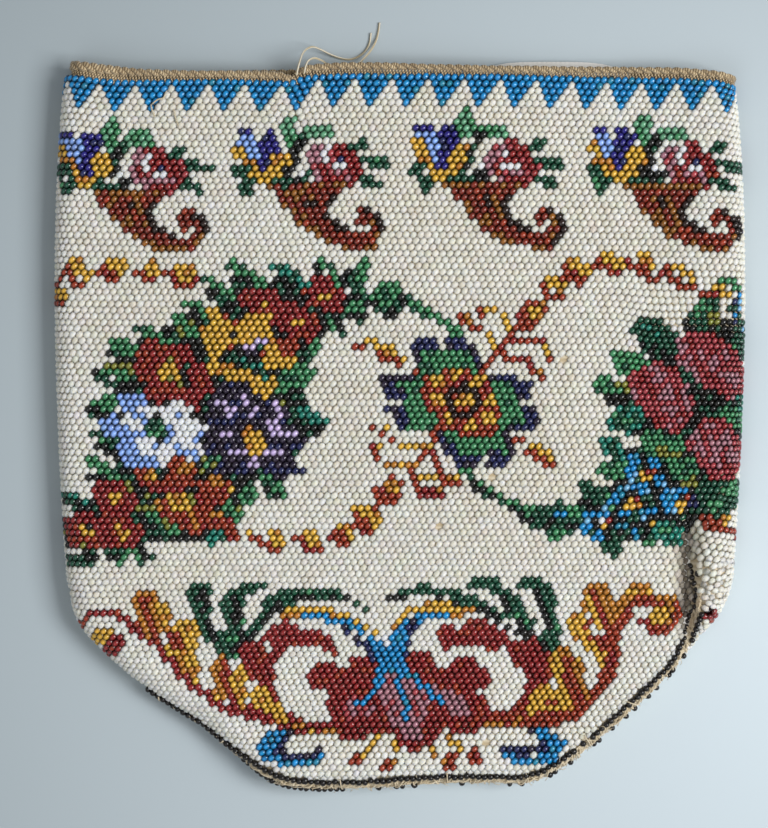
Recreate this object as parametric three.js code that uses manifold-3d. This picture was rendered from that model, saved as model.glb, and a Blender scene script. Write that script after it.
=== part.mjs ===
// Reticule: a bead-knitted drawstring bag, lying flat on its back with its string long gone.
// Knitted in the round from the mouth down, so it has no side seams. Below the side corners it is
// worked as two panels, sewn together along the slanted hems and the foot.
// X runs across the bag, Y towards the mouth, Z up. The back rests on Z = 0.

import * as THREE from "three";
import { ParametricGeometry } from "three/addons/geometries/ParametricGeometry.js";
import { mergeVertices } from "three/addons/utils/BufferGeometryUtils.js";
import Module from "manifold-3d";

const wasm = await Module();
wasm.setup();

// Outline of the bag as it lies, in millimetres
const MOUTH_WIDTH = 169; // fold to fold at the mouth
const SIDE_SWELL = 3.8; // how far the control point of each side bows out
const SWELL_DROP = 52; // from the mouth down to that control point
const CORNER_WIDTH = 167; // across the side corners, before they are rounded
const CORNER_DROP = 133; // from the mouth down to the side corners
const CORNER_ROUND = 9.5; // from a side corner back to where its curve starts
const FOOT_WIDTH = 65; // across the straight foot, before its corners are rounded
const FOOT_ROUND = 5; // from a foot corner back to where its curve starts
const BODY_LENGTH = 176.5; // from the mouth edge of the beadwork to the foot

// Fabric
const THICKNESS = 9.6; // both walls and the slack between them
const EDGE_ROLL = 6; // how far in from the silhouette the fabric has turned over
const EDGE_FLAT = 0.6; // the upright middle of the rolled edge
const WALL = 1.8; // knitted thread with its beads
const ROW_PITCH = 1.55; // one knitted row of beads to the next
const ROW_GROOVE_WIDTH = 0.8;
const ROW_GROOVE_DEPTH = 0.45;
const LINING = 0.4; // white cotton inside
const LINING_SET = 2; // how far the lining stops below the mouth
const SEAT_GAP = 0.3; // between pieces that touch
const OUTER_FACETS = 3; // facets on each half of the rolled edge, outside
const INNER_FACETS = 2; // and inside
const CURVE_FACETS = 5; // facets on each curve of the outline

// Crocheted rim
const RIM_HEIGHT = 2.6;
const RIM_STITCHES = 72;
const RIM_SIDES = 5;
const RIM_STITCH_DIP = 0.3; // share of the thickness lost between two stitches

// Where the back lining has slipped up past the rim
const PEEK_FROM = 9;
const PEEK_TO = 53;
const PEEK_ABOVE_RIM = 0.8;

// Seam along the hems and the foot
const EDGE_BEAD = 1.6; // diameter of the dark beads that close each panel
const EDGE_BEAD_PITCH = 1.8;
const BEAD_NECK = 0.7; // diameter of the thread between two of them
const BEAD_SIDES = 5;
const STITCH_WIDTH = 1.5; // sewing thread between the two rows of beads
const STITCH_THICKNESS = 0.8;
const STITCH_PITCH = 2.8;
const STITCH_SIDES = 4;
const STITCH_NECK = 0.6; // share of a stitch left where two meet
const SEAM_START = 21.5; // along the hem, from its left end to where the seam comes out from under the bag
const SEAM_END = 3.2; // from the seam's right end to the hem's
const SEAM_TUCK = 1.9; // how far the seam's middle lies under the edge where it starts
const SEAM_TUCK_LEFT = 1.2; // and what is left of that near the foot
const SEAM_FOOT_RISE = 1.2; // how far it lies up on the rolled edge as the foot begins
const SEAM_HEM_RISE = 3; // and where the right-hand hem nears its corner
const SEAM_CORNER_RISE = 11; // and at the right corner, where it has rolled up onto the front
const SEAM_POINTS = 40;

// Loose ends of the rim's thread
const THREAD_DIAMETER = 0.5;
const THREAD_SIDES = 8;
const THREAD_STEP = 1.5;

const half = THICKNESS / 2;
const mouthHalf = MOUTH_WIDTH / 2;
const rimTop = SEAT_GAP + RIM_HEIGHT;
const cuttingRoom = BODY_LENGTH + THICKNESS; // cutters reach this far past the bag
const spareAbove = 3 * EDGE_ROLL; // the outline runs on this far above the mouth, and is trimmed there

// Materials
const beadedFabric = new THREE.MeshStandardMaterial({ name: "ivory_beads", color: 0xe6dfcf, roughness: 0.45 });
const linenThread = new THREE.MeshStandardMaterial({ name: "tan_thread", color: 0xa98c5f, roughness: 0.85 });
const darkBeads = new THREE.MeshStandardMaterial({ name: "dark_beads", color: 0x1b1210, roughness: 0.25 });
const cotton = new THREE.MeshStandardMaterial({ name: "white_cotton", color: 0xefece4, roughness: 0.9 });
const creamThread = new THREE.MeshStandardMaterial({ name: "cream_thread", color: 0xd9cfb6, roughness: 0.85 });

/** Merge shared vertices, drop collapsed triangles and turn the faces outwards. */
function closed(geometry) {
  const bare = geometry.clone();
  bare.deleteAttribute("normal");
  bare.deleteAttribute("uv");
  const merged = mergeVertices(bare, 1e-4);
  const index = merged.index.array;
  const kept = [];
  for (let i = 0; i < index.length; i += 3) {
    const [a, b, c] = index.slice(i, i + 3);
    if (a !== b && b !== c && c !== a) kept.push(a, b, c);
  }
  if (signedVolume(merged.attributes.position, kept) < 0) kept.reverse();
  merged.setIndex(kept);
  return merged;
}

function signedVolume(position, index) {
  const [a, b, c] = [new THREE.Vector3(), new THREE.Vector3(), new THREE.Vector3()];
  let sum = 0;
  for (let i = 0; i < index.length; i += 3) {
    a.fromBufferAttribute(position, index[i]);
    b.fromBufferAttribute(position, index[i + 1]);
    c.fromBufferAttribute(position, index[i + 2]);
    sum += a.dot(b.cross(c)) / 6;
  }
  return sum;
}

function toSolid(geometry) {
  const whole = closed(geometry);
  const vertProperties = new Float32Array(whole.attributes.position.array);
  const triVerts = new Uint32Array(whole.index.array);
  return new wasm.Manifold(new wasm.Mesh({ numProp: 3, vertProperties, triVerts }));
}

function toGeometry(solid) {
  const { vertProperties, triVerts } = solid.getMesh();
  const geometry = new THREE.BufferGeometry();
  geometry.setAttribute("position", new THREE.BufferAttribute(vertProperties, 3));
  geometry.setIndex(new THREE.BufferAttribute(triVerts, 1));
  geometry.computeVertexNormals();
  return geometry;
}

function named(name, geometry, material) {
  const mesh = new THREE.Mesh(geometry, material);
  mesh.name = name;
  return mesh;
}

// The outline's corners on the right-hand side
const sideCorner = new THREE.Vector2(CORNER_WIDTH / 2, -CORNER_DROP);
const footCorner = new THREE.Vector2(FOOT_WIDTH / 2, -BODY_LENGTH);
const mouthCorner = new THREE.Vector2(mouthHalf, 0);
const sideControl = new THREE.Vector2(mouthHalf + SIDE_SWELL, -SWELL_DROP);

const mirrored = (point) => new THREE.Vector2(-point.x, point.y);

/** The point a set distance from one corner towards another. */
function towards(from, to, distance) {
  return to.clone().sub(from).setLength(distance).add(from);
}

/** Draw a rounded corner: straight up to it, then a curve that leaves it towards the next point. */
function roundCorner(path, before, corner, after, round) {
  const start = towards(corner, before, round);
  const end = towards(corner, after, round);
  path.lineTo(start.x, start.y);
  path.quadraticCurveTo(corner.x, corner.y, end.x, end.y);
}

const leftHemStart = towards(mirrored(sideCorner), mirrored(sideControl), CORNER_ROUND);

/** Draw the hem from the left side, round the foot, to the right side. */
function drawHem(path) {
  const corners = [mirrored(sideControl), mirrored(sideCorner), mirrored(footCorner)];
  corners.push(footCorner, sideCorner, sideControl);
  const rounds = [CORNER_ROUND, FOOT_ROUND, FOOT_ROUND, CORNER_ROUND];
  rounds.forEach((round, i) => roundCorner(path, corners[i], corners[i + 1], corners[i + 2], round));
}

const hem = new THREE.Path();
hem.moveTo(leftHemStart.x, leftHemStart.y);
drawHem(hem);

const outline = new THREE.Shape();
outline.moveTo(mouthHalf, spareAbove);
outline.lineTo(-mouthHalf, spareAbove);
outline.lineTo(-mouthHalf, 0);
outline.quadraticCurveTo(-sideControl.x, sideControl.y, leftHemStart.x, leftHemStart.y);
drawHem(outline);
outline.quadraticCurveTo(sideControl.x, sideControl.y, mouthCorner.x, mouthCorner.y);
outline.closePath();

/** The flattened bag as one plump solid, its surface set in by `inset` on every side. */
function pillow(inset, bevelSegments) {
  const bevelThickness = half - inset - EDGE_FLAT / 2;
  const geometry = new THREE.ExtrudeGeometry(outline, {
    depth: EDGE_FLAT,
    bevelThickness,
    bevelSize: EDGE_ROLL - inset,
    bevelOffset: -EDGE_ROLL,
    bevelSegments,
    curveSegments: CURVE_FACETS,
  });
  geometry.translate(0, 0, half - EDGE_FLAT / 2);
  return toSolid(geometry);
}

/** An upright block over the flat of the bag, clear of its rolled edge. */
function flatOfBag() {
  const geometry = new THREE.ExtrudeGeometry(outline, {
    depth: 2 * THICKNESS,
    bevelThickness: THICKNESS,
    bevelSize: 0,
    bevelOffset: -EDGE_ROLL - ROW_GROOVE_DEPTH,
    bevelSegments: 1,
    curveSegments: CURVE_FACETS,
  });
  return toSolid(geometry.translate(0, 0, -THICKNESS / 2));
}

/** A block that takes away everything above a line drawn across the mouth, between two heights. */
function trimAbove(edge, bottom, top) {
  const shape = new THREE.Shape();
  shape.moveTo(-cuttingRoom, edge[0].y);
  edge.forEach((point) => shape.lineTo(point.x, point.y));
  shape.lineTo(cuttingRoom, edge.at(-1).y);
  shape.lineTo(cuttingRoom, cuttingRoom);
  shape.lineTo(-cuttingRoom, cuttingRoom);
  const geometry = new THREE.ExtrudeGeometry(shape, { depth: top - bottom, bevelEnabled: false });
  geometry.translate(0, 0, bottom);
  return toSolid(geometry);
}

/** A comb of V-shaped teeth across the bag, one between each two rows, biting into a face at Z = 0. */
function rowComb() {
  const shape = new THREE.Shape();
  const rows = Math.floor(BODY_LENGTH / ROW_PITCH) - 1;
  const slope = ROW_GROOVE_WIDTH / 2 / ROW_GROOVE_DEPTH;
  const clear = ROW_GROOVE_DEPTH / 2;
  const reach = slope * (ROW_GROOVE_DEPTH + clear);
  shape.moveTo(0, THICKNESS);
  for (let row = 1; row <= rows; row++) {
    const y = -row * ROW_PITCH;
    shape.lineTo(y + reach, clear);
    shape.lineTo(y, -ROW_GROOVE_DEPTH);
    shape.lineTo(y - reach, clear);
  }
  shape.lineTo(-BODY_LENGTH, THICKNESS);
  const geometry = new THREE.ExtrudeGeometry(shape, { depth: 2 * cuttingRoom, bevelEnabled: false });
  geometry.translate(0, 0, -cuttingRoom);
  const across = new THREE.Vector3(1, 0, 0);
  const along = new THREE.Vector3(0, 1, 0);
  const up = new THREE.Vector3(0, 0, 1);
  geometry.applyMatrix4(new THREE.Matrix4().makeBasis(along, up, across));
  return geometry;
}

/** The knitted wall: a hollow pillow, open at the mouth, ridged by its rows of beads front and back. */
function beadedBag() {
  const level = [new THREE.Vector2(0, 0)];
  const frontComb = toSolid(rowComb().translate(0, 0, THICKNESS));
  const backComb = toSolid(rowComb().scale(1, 1, -1));
  const aboveMouth = trimAbove(level, -THICKNESS, 2 * THICKNESS);
  const wall = pillow(0, OUTER_FACETS).subtract(pillow(WALL, INNER_FACETS)).subtract(aboveMouth);
  return toGeometry(wall.subtract(frontComb.add(backComb).intersect(flatOfBag())));
}

/** A thin pouch inside the wall. Its back has slipped up in a low arch that shows past the rim. */
function lining() {
  const outer = WALL + SEAT_GAP;
  const peek = new THREE.Path();
  const middle = (PEEK_FROM + PEEK_TO) / 2;
  const peekTop = rimTop + PEEK_ABOVE_RIM;
  const shoulder = (PEEK_TO - PEEK_FROM) / 4;
  peek.moveTo(PEEK_FROM - shoulder, -LINING_SET);
  peek.bezierCurveTo(PEEK_FROM, -LINING_SET, PEEK_FROM, peekTop, middle, peekTop);
  peek.bezierCurveTo(PEEK_TO, peekTop, PEEK_TO, -LINING_SET, PEEK_TO + shoulder, -LINING_SET);
  const level = [new THREE.Vector2(0, -LINING_SET)];
  const pouch = pillow(outer, INNER_FACETS).subtract(pillow(outer + LINING, INNER_FACETS));
  const frontCut = trimAbove(level, half, 2 * THICKNESS);
  const backCut = trimAbove(peek.getPoints(CURVE_FACETS), -THICKNESS, half + LINING);
  return toGeometry(pouch.subtract(frontCut).subtract(backCut));
}

/** The crocheted rim: a flattened ring that follows the mouth, swelling at every stitch. */
function crochetRim() {
  const flat = mouthHalf - EDGE_ROLL;
  const rollX = EDGE_ROLL - WALL / 2;
  const rollZ = half - WALL / 2;
  const quarter = Math.PI / 2;
  const mouth = new THREE.Path();
  mouth.moveTo(-flat, rollZ);
  mouth.lineTo(flat, rollZ);
  mouth.absellipse(flat, 0, rollX, rollZ, quarter, -quarter, true);
  mouth.lineTo(-flat, -rollZ);
  mouth.absellipse(-flat, 0, rollX, rollZ, -quarter, -3 * quarter, true);
  const stitch = (u, v, target) => {
    const centre = mouth.getPointAt(u % 1);
    const tangent = mouth.getTangentAt(u % 1);
    const swell = 1 - RIM_STITCH_DIP * Math.cos(Math.PI * RIM_STITCHES * u) ** 2;
    const out = (WALL / 2) * swell * Math.cos(2 * Math.PI * v);
    const rise = (RIM_HEIGHT / 2) * (1 + swell) / 2 * Math.sin(2 * Math.PI * v);
    target.set(centre.x - tangent.y * out, SEAT_GAP + RIM_HEIGHT / 2 + rise, half + centre.y + tangent.x * out);
  };
  return closed(new ParametricGeometry(stitch, 2 * RIM_STITCHES, RIM_SIDES));
}

// Shares of the seam's length, and how far its middle lies up the rolled edge from the silhouette there:
// tucked under at the left, just on top along the foot, rolled up onto the front at the right corner
const seamStations = [
  [0, -SEAM_TUCK],
  [0.22, -SEAM_TUCK_LEFT],
  [0.36, SEAM_FOOT_RISE],
  [0.86, SEAM_HEM_RISE],
  [1, SEAM_CORNER_RISE],
];

/** The seam's rise at a share of its length, easing from one station to the next. */
function seamRise(share) {
  const next = Math.max(1, seamStations.findIndex(([station]) => station >= share));
  const [[from, low], [to, high]] = seamStations.slice(next - 1, next + 1);
  return THREE.MathUtils.lerp(low, high, THREE.MathUtils.smoothstep(share, from, to));
}

/** A place on the rolled edge: `rise` up from the silhouette, and the way out from the surface there. */
function edgePlace(share, rise) {
  const point = hem.getPointAt(share);
  const tangent = hem.getTangentAt(share);
  const outward = new THREE.Vector2(tangent.y, -tangent.x);
  const quarter = (Math.PI / 4) * (EDGE_ROLL + half);
  const turn = (Math.PI / 2) * THREE.MathUtils.clamp(rise / quarter, -1, 1);
  const inset = EDGE_ROLL * (1 - Math.cos(turn)) + Math.max(0, rise - quarter);
  const place = new THREE.Vector3(point.x, point.y, half + half * Math.sin(turn));
  place.x -= outward.x * inset;
  place.y -= outward.y * inset;
  const sideways = Math.cos(turn) / EDGE_ROLL;
  const normal = new THREE.Vector3(outward.x * sideways, outward.y * sideways, Math.sin(turn) / half);
  return { place, normal: normal.normalize() };
}

/** The seam's own line, `aside` up or down the edge from its middle and `lift` off the surface. */
function seamLine(aside, lift) {
  const points = [];
  const hemLength = hem.getLength();
  for (let i = 0; i <= SEAM_POINTS; i++) {
    const share = i / SEAM_POINTS;
    const along = THREE.MathUtils.lerp(SEAM_START, hemLength - SEAM_END, share);
    const { place, normal } = edgePlace(along / hemLength, seamRise(share) + aside);
    points.push(place.addScaledVector(normal, lift));
  }
  return new THREE.CatmullRomCurve3(points);
}

/** A string of swellings along a curve, `width` by `height` at each swelling, closed at both ends. */
function beadString(curve, pitch, width, height, neck, sides) {
  const count = Math.round(curve.getLength() / pitch);
  const upright = new THREE.Vector3(0, 0, 1);
  const surface = (u, v, target) => {
    const centre = curve.getPointAt(u);
    const along = curve.getTangentAt(u);
    const aside = new THREE.Vector3().crossVectors(upright, along).normalize();
    const up = new THREE.Vector3().crossVectors(along, aside);
    const open = u <= 0 || u >= 1 ? 0 : 1;
    const swell = open * (neck + (1 - neck) * Math.sin(Math.PI * count * u) ** 2);
    const angle = 2 * Math.PI * v;
    target.copy(centre);
    target.addScaledVector(aside, (width / 2) * swell * Math.cos(angle));
    target.addScaledVector(up, (height / 2) * swell * Math.sin(angle));
  };
  return closed(new ParametricGeometry(surface, 2 * count, sides));
}

const beadAside = (STITCH_WIDTH + EDGE_BEAD) / 2 + SEAT_GAP;
const beadLift = EDGE_BEAD / 2 + SEAT_GAP;

function edgeBeads(aside) {
  const curve = seamLine(aside, beadLift);
  return beadString(curve, EDGE_BEAD_PITCH, EDGE_BEAD, EDGE_BEAD, BEAD_NECK / EDGE_BEAD, BEAD_SIDES);
}

function seamStitching() {
  const curve = seamLine(0, STITCH_THICKNESS + SEAT_GAP);
  return beadString(curve, STITCH_PITCH, STITCH_WIDTH, STITCH_THICKNESS, STITCH_NECK, STITCH_SIDES);
}

/** A round thread along hand-placed points. */
function looseThread(points) {
  const curve = new THREE.CatmullRomCurve3(points.map((point) => new THREE.Vector3(...point)));
  const section = new THREE.Shape();
  for (let side = 0; side < THREAD_SIDES; side++) {
    const angle = (2 * Math.PI * side) / THREAD_SIDES;
    const point = [(THREAD_DIAMETER / 2) * Math.cos(angle), (THREAD_DIAMETER / 2) * Math.sin(angle)];
    if (side === 0) section.moveTo(...point);
    else section.lineTo(...point);
  }
  const steps = Math.round(curve.getLength() / THREAD_STEP);
  return new THREE.ExtrudeGeometry(section, { steps, extrudePath: curve });
}

const longThread = [
  [-25.9, 0.5, 10.2], [-25.4, 2.6, 10.3], [-24.9, 4.4, 9.5], [-24.4, 6.0, 7.7], [-23.4, 7.4, 5.7],
  [-21.9, 8.1, 3.9], [-20.0, 7.6, 2.4], [-17.8, 6.6, 1.3], [-15.3, 5.7, 0.7], [-12.8, 5.3, 0.4],
  [-10.5, 6.0, 0.35], [-8.6, 7.6, 0.35], [-7.6, 9.7, 0.35], [-7.3, 12.0, 0.35],
];

const shortThread = [
  [-24.0, 0.8, 10.2], [-23.6, 2.6, 10.3], [-22.9, 4.1, 9.4], [-21.4, 4.9, 7.9], [-19.6, 4.4, 6.5],
  [-18.0, 3.4, 5.6], [-15.6, 2.5, 5.0], [-13.2, 2.5, 4.6], [-11.2, 3.3, 3.8], [-9.4, 5.0, 2.6],
  [-7.4, 7.4, 1.4], [-6.0, 10.0, 0.6], [-5.4, 12.4, 0.35], [-5.1, 14.6, 0.35],
];

const bag = new THREE.Group();
bag.add(named("beaded_bag", beadedBag(), beadedFabric));
bag.add(named("lining", lining(), cotton));
bag.add(named("crochet_rim", crochetRim(), linenThread));
bag.add(named("front_edge_beads", edgeBeads(beadAside), darkBeads));
bag.add(named("back_edge_beads", edgeBeads(-beadAside), darkBeads));
bag.add(named("seam_stitching", seamStitching(), linenThread));

// The origin lies under the middle of the bag
const middle = new THREE.Box3().setFromObject(bag).getCenter(new THREE.Vector3());
bag.position.set(-middle.x, -middle.y, 0);

bag.add(named("thread_end_long", looseThread(longThread), creamThread));
bag.add(named("thread_end_short", looseThread(shortThread), creamThread));

export default bag;
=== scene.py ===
"""Looks of a bead-knitted reticule that lies flat on its back.

Shapes are worked out in millimetres and put into meshes in metres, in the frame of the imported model.
A place on the bag is given by x, across from its middle, and drop, down from the beadwork's mouth edge.
The charts of the pattern use the same two measures.
"""

import math

import bpy
import numpy as np
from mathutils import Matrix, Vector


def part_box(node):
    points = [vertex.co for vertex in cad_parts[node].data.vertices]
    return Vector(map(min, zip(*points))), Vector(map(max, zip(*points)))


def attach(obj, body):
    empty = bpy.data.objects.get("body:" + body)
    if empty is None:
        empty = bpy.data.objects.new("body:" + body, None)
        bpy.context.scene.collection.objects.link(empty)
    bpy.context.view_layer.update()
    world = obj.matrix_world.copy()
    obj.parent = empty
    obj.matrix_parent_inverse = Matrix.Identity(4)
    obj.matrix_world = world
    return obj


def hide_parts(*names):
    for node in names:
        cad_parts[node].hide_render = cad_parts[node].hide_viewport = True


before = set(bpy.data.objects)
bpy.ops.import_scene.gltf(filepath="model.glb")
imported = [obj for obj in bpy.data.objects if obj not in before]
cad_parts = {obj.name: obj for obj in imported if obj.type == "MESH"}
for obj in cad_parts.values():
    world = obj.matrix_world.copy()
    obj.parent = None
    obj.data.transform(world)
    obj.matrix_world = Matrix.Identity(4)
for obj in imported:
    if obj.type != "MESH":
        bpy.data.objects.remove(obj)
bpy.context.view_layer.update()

rng = np.random.default_rng(1835)

MM = 0.001  # metres
bag_low, bag_high = (np.array(corner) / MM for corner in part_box("beaded_bag"))
rim_low, rim_high = (np.array(corner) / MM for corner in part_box("crochet_rim"))

# Outline of the bag as it lies
MOUTH_Y = bag_high[1]
BODY_LENGTH = bag_high[1] - bag_low[1]
MOUTH_WIDTH = rim_high[0] - rim_low[0]
SIDE_SWELL = 5.2
SWELL_DROP = 46.0
CORNER_WIDTH = 167.0
CORNER_DROP = 133.0
CORNER_ROUND = 9.5
FOOT_WIDTH = 65.0
FOOT_ROUND = 5.0
SPARE_ABOVE = 18.0  # how far the outline runs on above the mouth
LEFT_SWELL = (2.8, 129, 162)  # of the hem: how far out, and between which drops
RIGHT_SWELL = (3.4, 138, 176)
FOOT_SAG = 2.1  # of the foot's left part below its right part
FOOT_SAG_IN = (-40, -20)  # across the bag, where it sets in
FOOT_SAG_EASED = (0.7, -14, 14)  # the share that is lost again, and where
FOOT_SAG_OUT = (30, 48)  # where it has run out
FOOT_CORNER = (1.3, 41.0, 10.0)  # at the right end: how far out, where across the bag, and how broad
FOOT_DROPS = (150, 168)  # between which the foot's own shape sets in
OUTLINE_STEP = 0.7
PLACES_AT_ONCE = 2000  # compared with the outline in one go

# Fabric
THICKNESS = bag_high[2]
HALF = THICKNESS / 2
EDGE_ROLL = 4.8  # how far in from the silhouette the fabric has turned over
QUARTER = math.pi / 4 * (EDGE_ROLL + HALF)  # along the fabric from the flat face to the silhouette
WALL = 1.8
BEAD_RISE = 0.93  # from the knitted ground to the top of a bead
GROUND_THICKNESS = 0.5

# Beads of the fabric
COLUMNS = 98  # on each side
SPARE_COLUMNS = 8
SPARE_ROWS = 5
ROW_PITCH = 1.55
FIRST_ROW = 0.85
ROW_SHIFT = 1 / 3  # of a column, to the right at each row
BEAD_LENGTH = 2.06
BEAD_WIDTH = 1.58
BEAD_LEAN = math.radians(50)  # of a bead's long axis, up from the row
BEAD_SQUARENESS = 2.5  # exponent of its outline: 2 is an ellipse

# Seam along the hems and the foot
SEAM_START = 21.5
SEAM_END = -1.5
SEAM_STATIONS = [(0, -2.6), (0.1, -1.4), (0.19, -0.5), (0.28, 3.4), (0.84, 3.4), (1, 13.4)]
EDGE_BEAD = 1.52
EDGE_BEAD_PITCH = 1.5
FRONT_ROW = 1.4  # up the edge from the seam's middle
BACK_ROW = -1.4
ROW_LIFT = 0.1  # of a row's middle over the bead tops
STITCH_LIFT = 0.5
ROWS_CLOSE = 0.6  # share by which the two rows have come together at the seam's upper end
ROWS_CLOSE_AT = (0.89, 0.95)  # shares of the seam
SEAM_SHOWS_FROM = 0.08  # share of the seam before which it is tucked in
TUCK_RISES = 12.0  # along the hem, before that, in which the seam's line leaves the silhouette
TUCK_OPENS = 5.0  # and in which the panels part
SEAM_CLOSES = (-3, 1)  # past the seam's end, where the panels meet again
FOLD_FADE = 34.0  # how far past the seam's end its fold runs out
ROW_ROOM = 0.3  # between a panel's last beads and the middle of its dark row

# Camera: straight above the bag, a quarter of a millimetre to the photo's pixel
PHOTO_SIZE = (768, 828)
PIXEL = 0.25
MIDDLE_COLUMN = 400  # of the photo, on the bag's middle line
MOUTH_LINE = 77  # of the photo, on the mouth edge
CAMERA_HEIGHT = 900.0
SENSOR = 36.0


def add_camera():
    """A camera that looks straight down, with the photo's frame at the height of the bag's front."""
    data = bpy.data.cameras.new("camera")
    camera = bpy.data.objects.new("camera", data)
    bpy.context.scene.collection.objects.link(camera)
    x = (PHOTO_SIZE[0] / 2 - MIDDLE_COLUMN) * PIXEL
    y = MOUTH_Y - (PHOTO_SIZE[1] / 2 - MOUTH_LINE) * PIXEL
    camera.location = (x * MM, y * MM, (THICKNESS + CAMERA_HEIGHT) * MM)
    data.sensor_fit = "HORIZONTAL"
    data.sensor_width = SENSOR
    data.lens = SENSOR * CAMERA_HEIGHT / (PHOTO_SIZE[0] * PIXEL)
    bpy.context.scene.camera = camera


add_camera()

# Materials


def linear(hex_colour):
    """An sRGB hex colour as linear red, green, blue and alpha."""
    srgb = np.array([int(hex_colour[i:i + 2], 16) for i in (1, 3, 5)]) / 255
    rgb = np.where(srgb <= 0.04045, srgb / 12.92, ((srgb + 0.055) / 1.055) ** 2.4)
    return (*rgb.tolist(), 1.0)


def feed(tree, node, **inputs):
    """Set a node's inputs, by name or number, each to a value or to the socket that feeds it."""
    for name, value in inputs.items():
        socket = node.inputs[int(name[1:])] if name[0] == "_" else node.inputs[name.replace("_", " ")]
        if isinstance(value, bpy.types.NodeSocket):
            tree.links.new(value, socket)
        else:
            socket.default_value = value


def add_node(tree, kind, output=0, settings=(), **inputs):
    """One output of a new node with these settings and inputs."""
    node = tree.nodes.new("ShaderNode" + kind)
    for name, value in dict(settings).items():
        setattr(node, name, value)
    feed(tree, node, **inputs)
    return node.outputs[output]


def new_material(name):
    """An empty material, its node tree, its shader and its texture coordinates."""
    material = bpy.data.materials.new(name)
    material.use_nodes = True
    tree = material.node_tree
    return material, tree, tree.nodes["Principled BSDF"], tree.nodes.new("ShaderNodeTexCoord").outputs


def per_metre(millimetres):
    """A noise texture's scale for lumps of this size.

    A wave texture repeats about three times to its unit, so its scale is that for pi times its spacing.
    """
    return 1 / (millimetres * MM)


# Settings of mixing nodes and of multiplying ones
OF_COLOURS = {"data_type": "RGBA"}
TIMES = {"operation": "MULTIPLY"}


def bead_glass(name, roughness_from, roughness_to, grime, gleam, glow):
    """Glass seed beads in the colours that they carry as an attribute, which also holds painted light and
    shade.

    A film of grime dulls some beads more than others. `gleam` is the strength of their mirror-like
    reflection, and `glow` the share of light that spreads inside them and softens their shading.
    """
    material, tree, shader, coords = new_material(name)
    # the attribute's colours carry painted light and shade as well as each bead's glass
    own = add_node(tree, "Attribute", "Color", {"attribute_name": "bead_colour_and_shade"})
    film = add_node(tree, "TexNoise", "Fac", Vector=coords["Object"], Scale=per_metre(3.2), Detail=2.0)
    amount = add_node(tree, "MapRange", Value=film, _1=0.45, _2=0.8, _4=grime)
    dull = add_node(tree, "Mix", 2, OF_COLOURS, _0=amount, _6=own, _7=linear("#8C7A5C"))
    gloss = add_node(tree, "MapRange", Value=film, _1=0.3, _2=0.75, _3=roughness_from, _4=roughness_to)
    feed(
        tree, shader, Base_Color=dull, Roughness=gloss, Specular_IOR_Level=gleam, Subsurface_Weight=glow,
        Subsurface_Radius=(1.0, 0.9, 0.7), Subsurface_Scale=2.6 * MM,
    )
    return material


def jet_glass():
    """Near-black brown glass: a hard gloss with dust in places."""
    material, tree, shader, coords = new_material("jet_glass_beads")
    dust = add_node(tree, "TexNoise", "Fac", Vector=coords["Object"], Scale=per_metre(2.4), Detail=3.0)
    amount = add_node(tree, "MapRange", Value=dust, _1=0.5, _2=0.85, _4=0.18)
    colour = add_node(tree, "Mix", 2, OF_COLOURS, _0=amount, _6=linear("#120E0D"), _7=linear("#3E3028"))
    gloss = add_node(tree, "MapRange", Value=dust, _1=0.3, _2=0.8, _3=0.05, _4=0.2)
    feed(tree, shader, Base_Color=colour, Roughness=gloss, IOR=1.52)
    return material


PLY_SCALE = 1.2  # of the wave texture on a thread's own map: a ply to about a quarter of a millimetre


def spun_thread(name, pale, dark, fuzz):
    """Plied thread: slanting plies that run along the piece's own map, with painted light where they stand
    up.

    Fibres catch the light as a faint sheen, and fine noise makes some lengths dirtier than others.
    """
    material, tree, shader, coords = new_material(name)
    plies = add_node(
        tree, "TexWave", "Fac", {"bands_direction": "DIAGONAL"}, Vector=coords["UV"], Scale=PLY_SCALE,
        Distortion=1.5, Detail=1.0,
    )
    dirt_and_shade = add_node(tree, "TexNoise", "Fac", Vector=coords["Object"], Scale=per_metre(2.5), Detail=4.0)
    both = add_node(tree, "Math", 0, TIMES, _0=plies, _1=dirt_and_shade)
    amount = add_node(tree, "MapRange", Value=both, _1=0.05, _2=0.55)
    # painted light on the raised plies and painted shade between them, mixed with dirt
    colour = add_node(tree, "Mix", 2, OF_COLOURS, _0=amount, _6=linear(dark), _7=linear(pale))
    bump = add_node(tree, "Bump", Height=plies, Distance=0.12 * MM, Strength=0.7)
    feed(
        tree, shader, Base_Color=colour, Normal=bump, Roughness=0.85, Sheen_Weight=fuzz,
        Sheen_Roughness=0.5,
    )
    return material


def knitted_linen():
    """Yellowed linen knitting under the beads: wavering rows of stitches, painted darker in their hollows as
    shade.

    The rows are a wave texture that repeats once to a row, and noise breaks them up.
    """
    material, tree, shader, coords = new_material("knitted_linen_ground")
    place = coords["Object"]
    rows = add_node(
        tree, "TexWave", "Fac", {"bands_direction": "Y"}, Vector=place,
        Scale=per_metre(math.pi * ROW_PITCH), Distortion=2.0,
    )
    dust = add_node(tree, "TexNoise", "Fac", Vector=place, Scale=per_metre(1.2), Detail=4.0)
    both = add_node(tree, "Math", 0, TIMES, _0=rows, _1=dust)
    # painted shade in the rows' hollows, made uneven by the dust noise
    colour = add_node(tree, "Mix", 2, OF_COLOURS, _0=both, _6=linear("#B5A485"), _7=linear("#E6DDC8"))
    bump = add_node(tree, "Bump", Height=both, Distance=0.3 * MM, Strength=0.8)
    feed(tree, shader, Base_Color=colour, Normal=bump, Roughness=0.9, Sheen_Weight=0.2)
    return material


THREAD_SPACING = 0.6  # drawn coarser than the real 0.35 mm, so that it shows


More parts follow.
